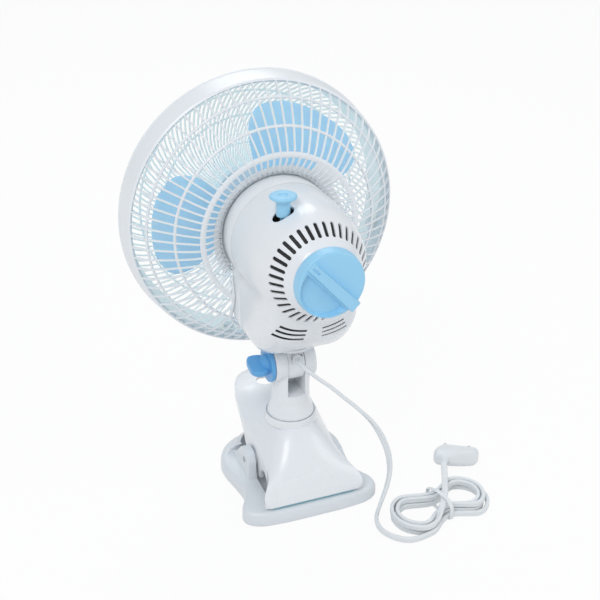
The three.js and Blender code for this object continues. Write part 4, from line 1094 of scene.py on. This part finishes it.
# ---------------------------------------------------------------- neck and column
def bolt_hole():
    """The hole through the bracket's eye and the column's ears."""
    return rod("x", BOLT_HOLE_R, -20, 20, (0, 0, TILT_Z), 32, 0)


def tilt_bracket():
    eye = rod("x", EYE_R, -EYE_HALF, EYE_HALF, (0, 0, TILT_Z), 96, 0.8)
    web = block((-EYE_HALF, EYE_HALF), (-9.5, 9.5), (TILT_Z + 8, TILT_Z + 15.6))
    profile = [
        (0, 119.6), (17.1, 119.6), (18.5, 120.8), (18.5, 122.7), (8, 122.7), (8, 136.8),
        (0, 136.8),
    ]
    table = turned("table", "z", rounded(profile, 0.5), 96)
    entry = rod("y", 3.5, 0, 20, (0, 0, 112.4), 32, 0)
    pilot = rod("y", 0.9, 8, 20, (-4.4, 0, 113.4), 24, 0)
    return shaped("neck", eye, [web, table], [bolt_hole(), entry, pilot], 0.4)


def column():
    profile = [
        (0, 61.6), (17.6, 61.6), (17.6, 63.2), (16.6, 66), (15.5, 69.4), (14.7, 73), (14.3, 78),
        (14.3, 99), (0, 99),
    ]
    shaft = turned("shaft", "z", rounded(profile, 0.7), 96)
    ears = rod("x", 14, -15.6, 15.6, (0, 0, TILT_Z), 96, 0.8)
    cheek = loft("cheek", [
        [(x * k, y, z) for x, y in [*arc(0, 0, 14.2, -42, 42, 8), *arc(0, 0, 14.2, 138, 222, 8)]]
        for z, k in ((88, 0.99), (93, 1.02), (98, 1.07), (102, 1.09))
    ])
    half = EYE_HALF + 0.3
    slot = block((-half, half), (-20, 20), (TILT_Z - 14.1, TILT_Z + 20))
    window = block((-half, half), (-8.5, 20), (81, TILT_Z - 13))
    nut = rod("x", 4.6, -17, -12.6, (0, 0, TILT_Z), 6, 0)
    screw = rod("z", 1.8, 60, 75.6, (0, 0, 0), 24, 0)
    return shaped("post", shaft, [ears, cheek], [slot, window, bolt_hole(), nut, screw], 0.45)


dress(tilt_bracket(), "neck_bracket", "white_shell", "tilt_bracket")
dress(column(), "neck_column", "white_shell", "column")


# ---------------------------------------------------------------- clamp
JAW = [(0, 54.4), (26, 54), (44, 51.4), (52, 45.4), (52.6, 38), (47, 27), (44.6, 18), (46.2, 2),
       (48.8, -14), (48.4, -27), (43.4, -39), (35, -48), (24, -54), (10, -57), (0, -57.4)]
UPPER = [
    # (y, half-width, side edge, centre line, lower edge)
    (-81.5, 8, 53, 54.4, 49.6),
    (-79, 13.4, 53, 54.8, 49.2),
    (-70, 20.8, 53, 55.4, 48.8),
    (-57, 25.8, 52.6, 56, 48),
    (-42, 28.6, 50, 56.8, 45.5),
    (-24, 29.9, 45.4, 59.6, 34),
    (-12, 29.6, 42.2, 61, 13),
    (4, 29, 39.4, 61, 13),
    (19, 28.6, 36, 57.6, 14),
    (31, 29.8, 33.3, 47.5, 15.2),
    (41, 33, 30.4, 36, 15.2),
    (46.5, 37.6, 24.6, 28.6, 15.2),
    (49.6, 38.8, 20.6, 22.8, 15.2),
    (51.6, 37.4, 18.2, 19.9, 15.3),
    (52.4, 34.6, 17.2, 18.2, 15.5),
]


def spline(knots, steps):
    line = eased([Vector((x, y, 0, 0)) for x, y in knots], 1.6)
    return even([(p.x, p.y) for p in line], steps)


def jaw_outline(inset):
    """The lower jaw's outline seen from above."""
    half = [(max(0, x * (1 - inset / 52)), y * (1 - inset / 52)) for x, y in spline(JAW, 60)]
    half[0], half[-1] = (0, half[0][1]), (0, half[-1][1])
    return half + [(-x, y) for x, y in half[-2:0:-1]]


JAW_EDGE = [
    # (z, inset of the outline)
    (0, 2.2), (0.4, 1.0), (1.4, 0.2), (2.4, 0), (8.6, 0.2), (10.6, 0.9), (11.7, 2), (12, 3.2),
]


def lower_jaw():
    body = loft("jaw", [[(x, y, z) for x, y in jaw_outline(inset)] for z, inset in JAW_EDGE])
    heel = loft("heel", [
        [(x, y, z) for x, y in arc(0, -10, 47 - inset, 205, 335, 48)]
        for z, inset in ((10, 0), (13, 1.2), (17, 3.6), (20, 7), (21.5, 10))
    ])
    well_half = [(30.8, 34), (30.8, -30), (20, -46)]
    well = prism(well_half + [(-x, y) for x, y in reversed(well_half)], 3, 24)
    cheeks = []
    for r, start, end in ((10.2, 31, 37.2), (6.8, -34.6, -31)):
        cheek = arc(*PIVOT[1:], r, 0, 140, 30) + [(-18, 22), (-30, 14), (-38, 8), (10, 8)]
        cheeks.append(prism(cheek, start, end, "x"))
    pin = rod("x", PIVOT_HOLE_R, -60, 60, PIVOT, 32, 0)
    body = shaped("jaw_lower", body, [heel], [well], 0.5)
    return shaped("jaw_lower", body, cheeks, [pin], 0.6)


UPPER_LINE = [tuple(p) for p in eased([Vector(row[:4]) for row in UPPER], 1.2)]


def upper_section(y, inset, lift=0):
    """The upper jaw's outline at y, from one lower edge over the top to the other."""
    half, edge, top = between(UPPER_LINE, y)
    low = between(UPPER, y)[3]
    w = half - inset
    points = [(w, y, low - lift)]
    for i in range(33):
        x = w * math.cos(math.pi * i / 32)
        crown = 1 - min(1, abs(x) / w) ** 2.4
        points.append((x, y, edge + (top - edge) * crown - inset))
    points.append((-w, y, low - lift))
    return points


def upper_jaw():
    steps = [i / 64 for i in range(65)]
    outer = loft("outer", [upper_section(-81.5 + 133.9 * t, 0) for t in steps])
    inner = loft("inner", [upper_section(-71 + 119.6 * t, 2.4, 3) for t in steps])
    body = shaped("jaw_upper", outer, [], [inner], 0)
    profile = [(0, 56), (20, 56), (19.7, 62.4), (18.3, 62.4), (18.3, 61.3), (0, 61.3)]
    collar = turned("collar", "z", rounded(profile, 0.5), 96)
    boss = rod("x", 6, -30.4, 30.4, PIVOT, 48, 0)
    lip = block((-31, 31), (37.5, 50), (15.2, 17))
    cuts = [
        rod("x", 8, -26, 26, PIVOT, 48, 0),
        rod("z", 18.2, 61.3, 80, (0, 0, 0), 96, 0),
        rod("z", 2.4, 50, 70, (0, 0, 0), 24, 0),
        prism(arc(19, 16, 8, 0, 180, 32) + [(11, 0), (27, 0)], -50, 50, "x"),
        rod("x", PIVOT_HOLE_R, -60, 60, PIVOT, 32, 0),
        rod("z", TAB_HOLE_R, 40, 70, TAB_HOLE, 64, 0),
    ]
    return shaped("jaw_upper", body, [collar, boss, lip], cuts, 0.5)


dress(lower_jaw(), "clamp_base", "grey_white_base", "lower_jaw")
dress(upper_jaw(), "clamp_lever", "white_shell", "upper_jaw")
dress(rod("x", PIVOT_R, -34.9, 37.6, PIVOT), "clamp_base", "steel", "pivot_pin")

# ---------------------------------------------------------------- the solids that stay
SLOTS = {row["node"]: row["material_slot"] for row in frame["record"]["subparts"]}
for node_name, node in nodes.items():
    if not node.hide_render:
        wear(node, SLOTS[node_name])
        smooth(node)

# ---------------------------------------------------------------- floor, world and lamps
def floor_material():
    """Pale floor: it keeps the shadow, and the camera sees it almost white."""
    material = bpy.data.materials.new("floor")
    material.use_nodes = True
    tree = material.node_tree
    shader = tree.nodes["Principled BSDF"]
    shader.inputs["Base Color"].default_value = (0.86, 0.86, 0.86, 1)
    shader.inputs["Roughness"].default_value = 0.9
    shader.inputs["Specular IOR Level"].default_value = 0
    glow = tree.nodes.new("ShaderNodeEmission")
    path = tree.nodes.new("ShaderNodeLightPath")
    seen = tree.nodes.new("ShaderNodeMath")
    seen.operation = "MAXIMUM"
    also = tree.nodes.new("ShaderNodeMath")
    also.operation = "MAXIMUM"
    share = tree.nodes.new("ShaderNodeMath")
    share.operation = "MULTIPLY"
    share.inputs[1].default_value = 0.93
    mix = tree.nodes.new("ShaderNodeMixShader")
    tree.links.new(path.outputs["Is Camera Ray"], seen.inputs[0])
    tree.links.new(path.outputs["Is Glossy Ray"], seen.inputs[1])
    tree.links.new(seen.outputs[0], also.inputs[0])
    tree.links.new(path.outputs["Is Transmission Ray"], also.inputs[1])
    tree.links.new(also.outputs[0], share.inputs[0])
    tree.links.new(share.outputs[0], mix.inputs[0])
    tree.links.new(shader.outputs[0], mix.inputs[1])
    tree.links.new(glow.outputs[0], mix.inputs[2])
    tree.links.new(mix.outputs[0], tree.nodes["Material Output"].inputs["Surface"])
    return material


def floor():
    piece = from_data("floor", [(-4000, -4000, -0.2), (4000, -4000, -0.2), (4000, 4000, -0.2),
                                (-4000, 4000, -0.2)], [(0, 1, 2, 3)])
    piece.data.materials.append(floor_material())


def world():
    sky = bpy.data.worlds.new("world")
    bpy.context.scene.world = sky
    sky.use_nodes = True
    tree = sky.node_tree
    light = tree.nodes["Background"]
    light.inputs["Color"].default_value = (0.93, 0.96, 1, 1)
    light.inputs["Strength"].default_value = 0.56
    white = tree.nodes.new("ShaderNodeBackground")
    white.inputs["Color"].default_value = (0.985, 0.985, 0.985, 1)
    path = tree.nodes.new("ShaderNodeLightPath")
    mix = tree.nodes.new("ShaderNodeMixShader")
    tree.links.new(path.outputs["Is Camera Ray"], mix.inputs[0])
    tree.links.new(light.outputs[0], mix.inputs[1])
    tree.links.new(white.outputs[0], mix.inputs[2])
    tree.links.new(mix.outputs[0], tree.nodes["World Output"].inputs["Surface"])


def lamp(name, place, size, power):
    data = bpy.data.lights.new(name, "AREA")
    data.shape = "DISK"
    data.size = size
    data.energy = power
    piece = bpy.data.objects.new(name, data)
    bpy.context.scene.collection.objects.link(piece)
    piece.location = place
    aim = Vector((0, 0, 0.14)) - Vector(place)
    piece.rotation_mode = "QUATERNION"
    piece.rotation_quaternion = aim.to_track_quat("-Z", "Y")


floor()
world()
lamp("key", (0.9, 0.9, 1.5), 0.9, 11)
lamp("fill", (-1.2, 0.8, 0.9), 1.0, 4)
lamp("rim", (-0.3, -1.2, 1.3), 0.9, 5)
bpy.context.scene.view_settings.view_transform = "Standard"
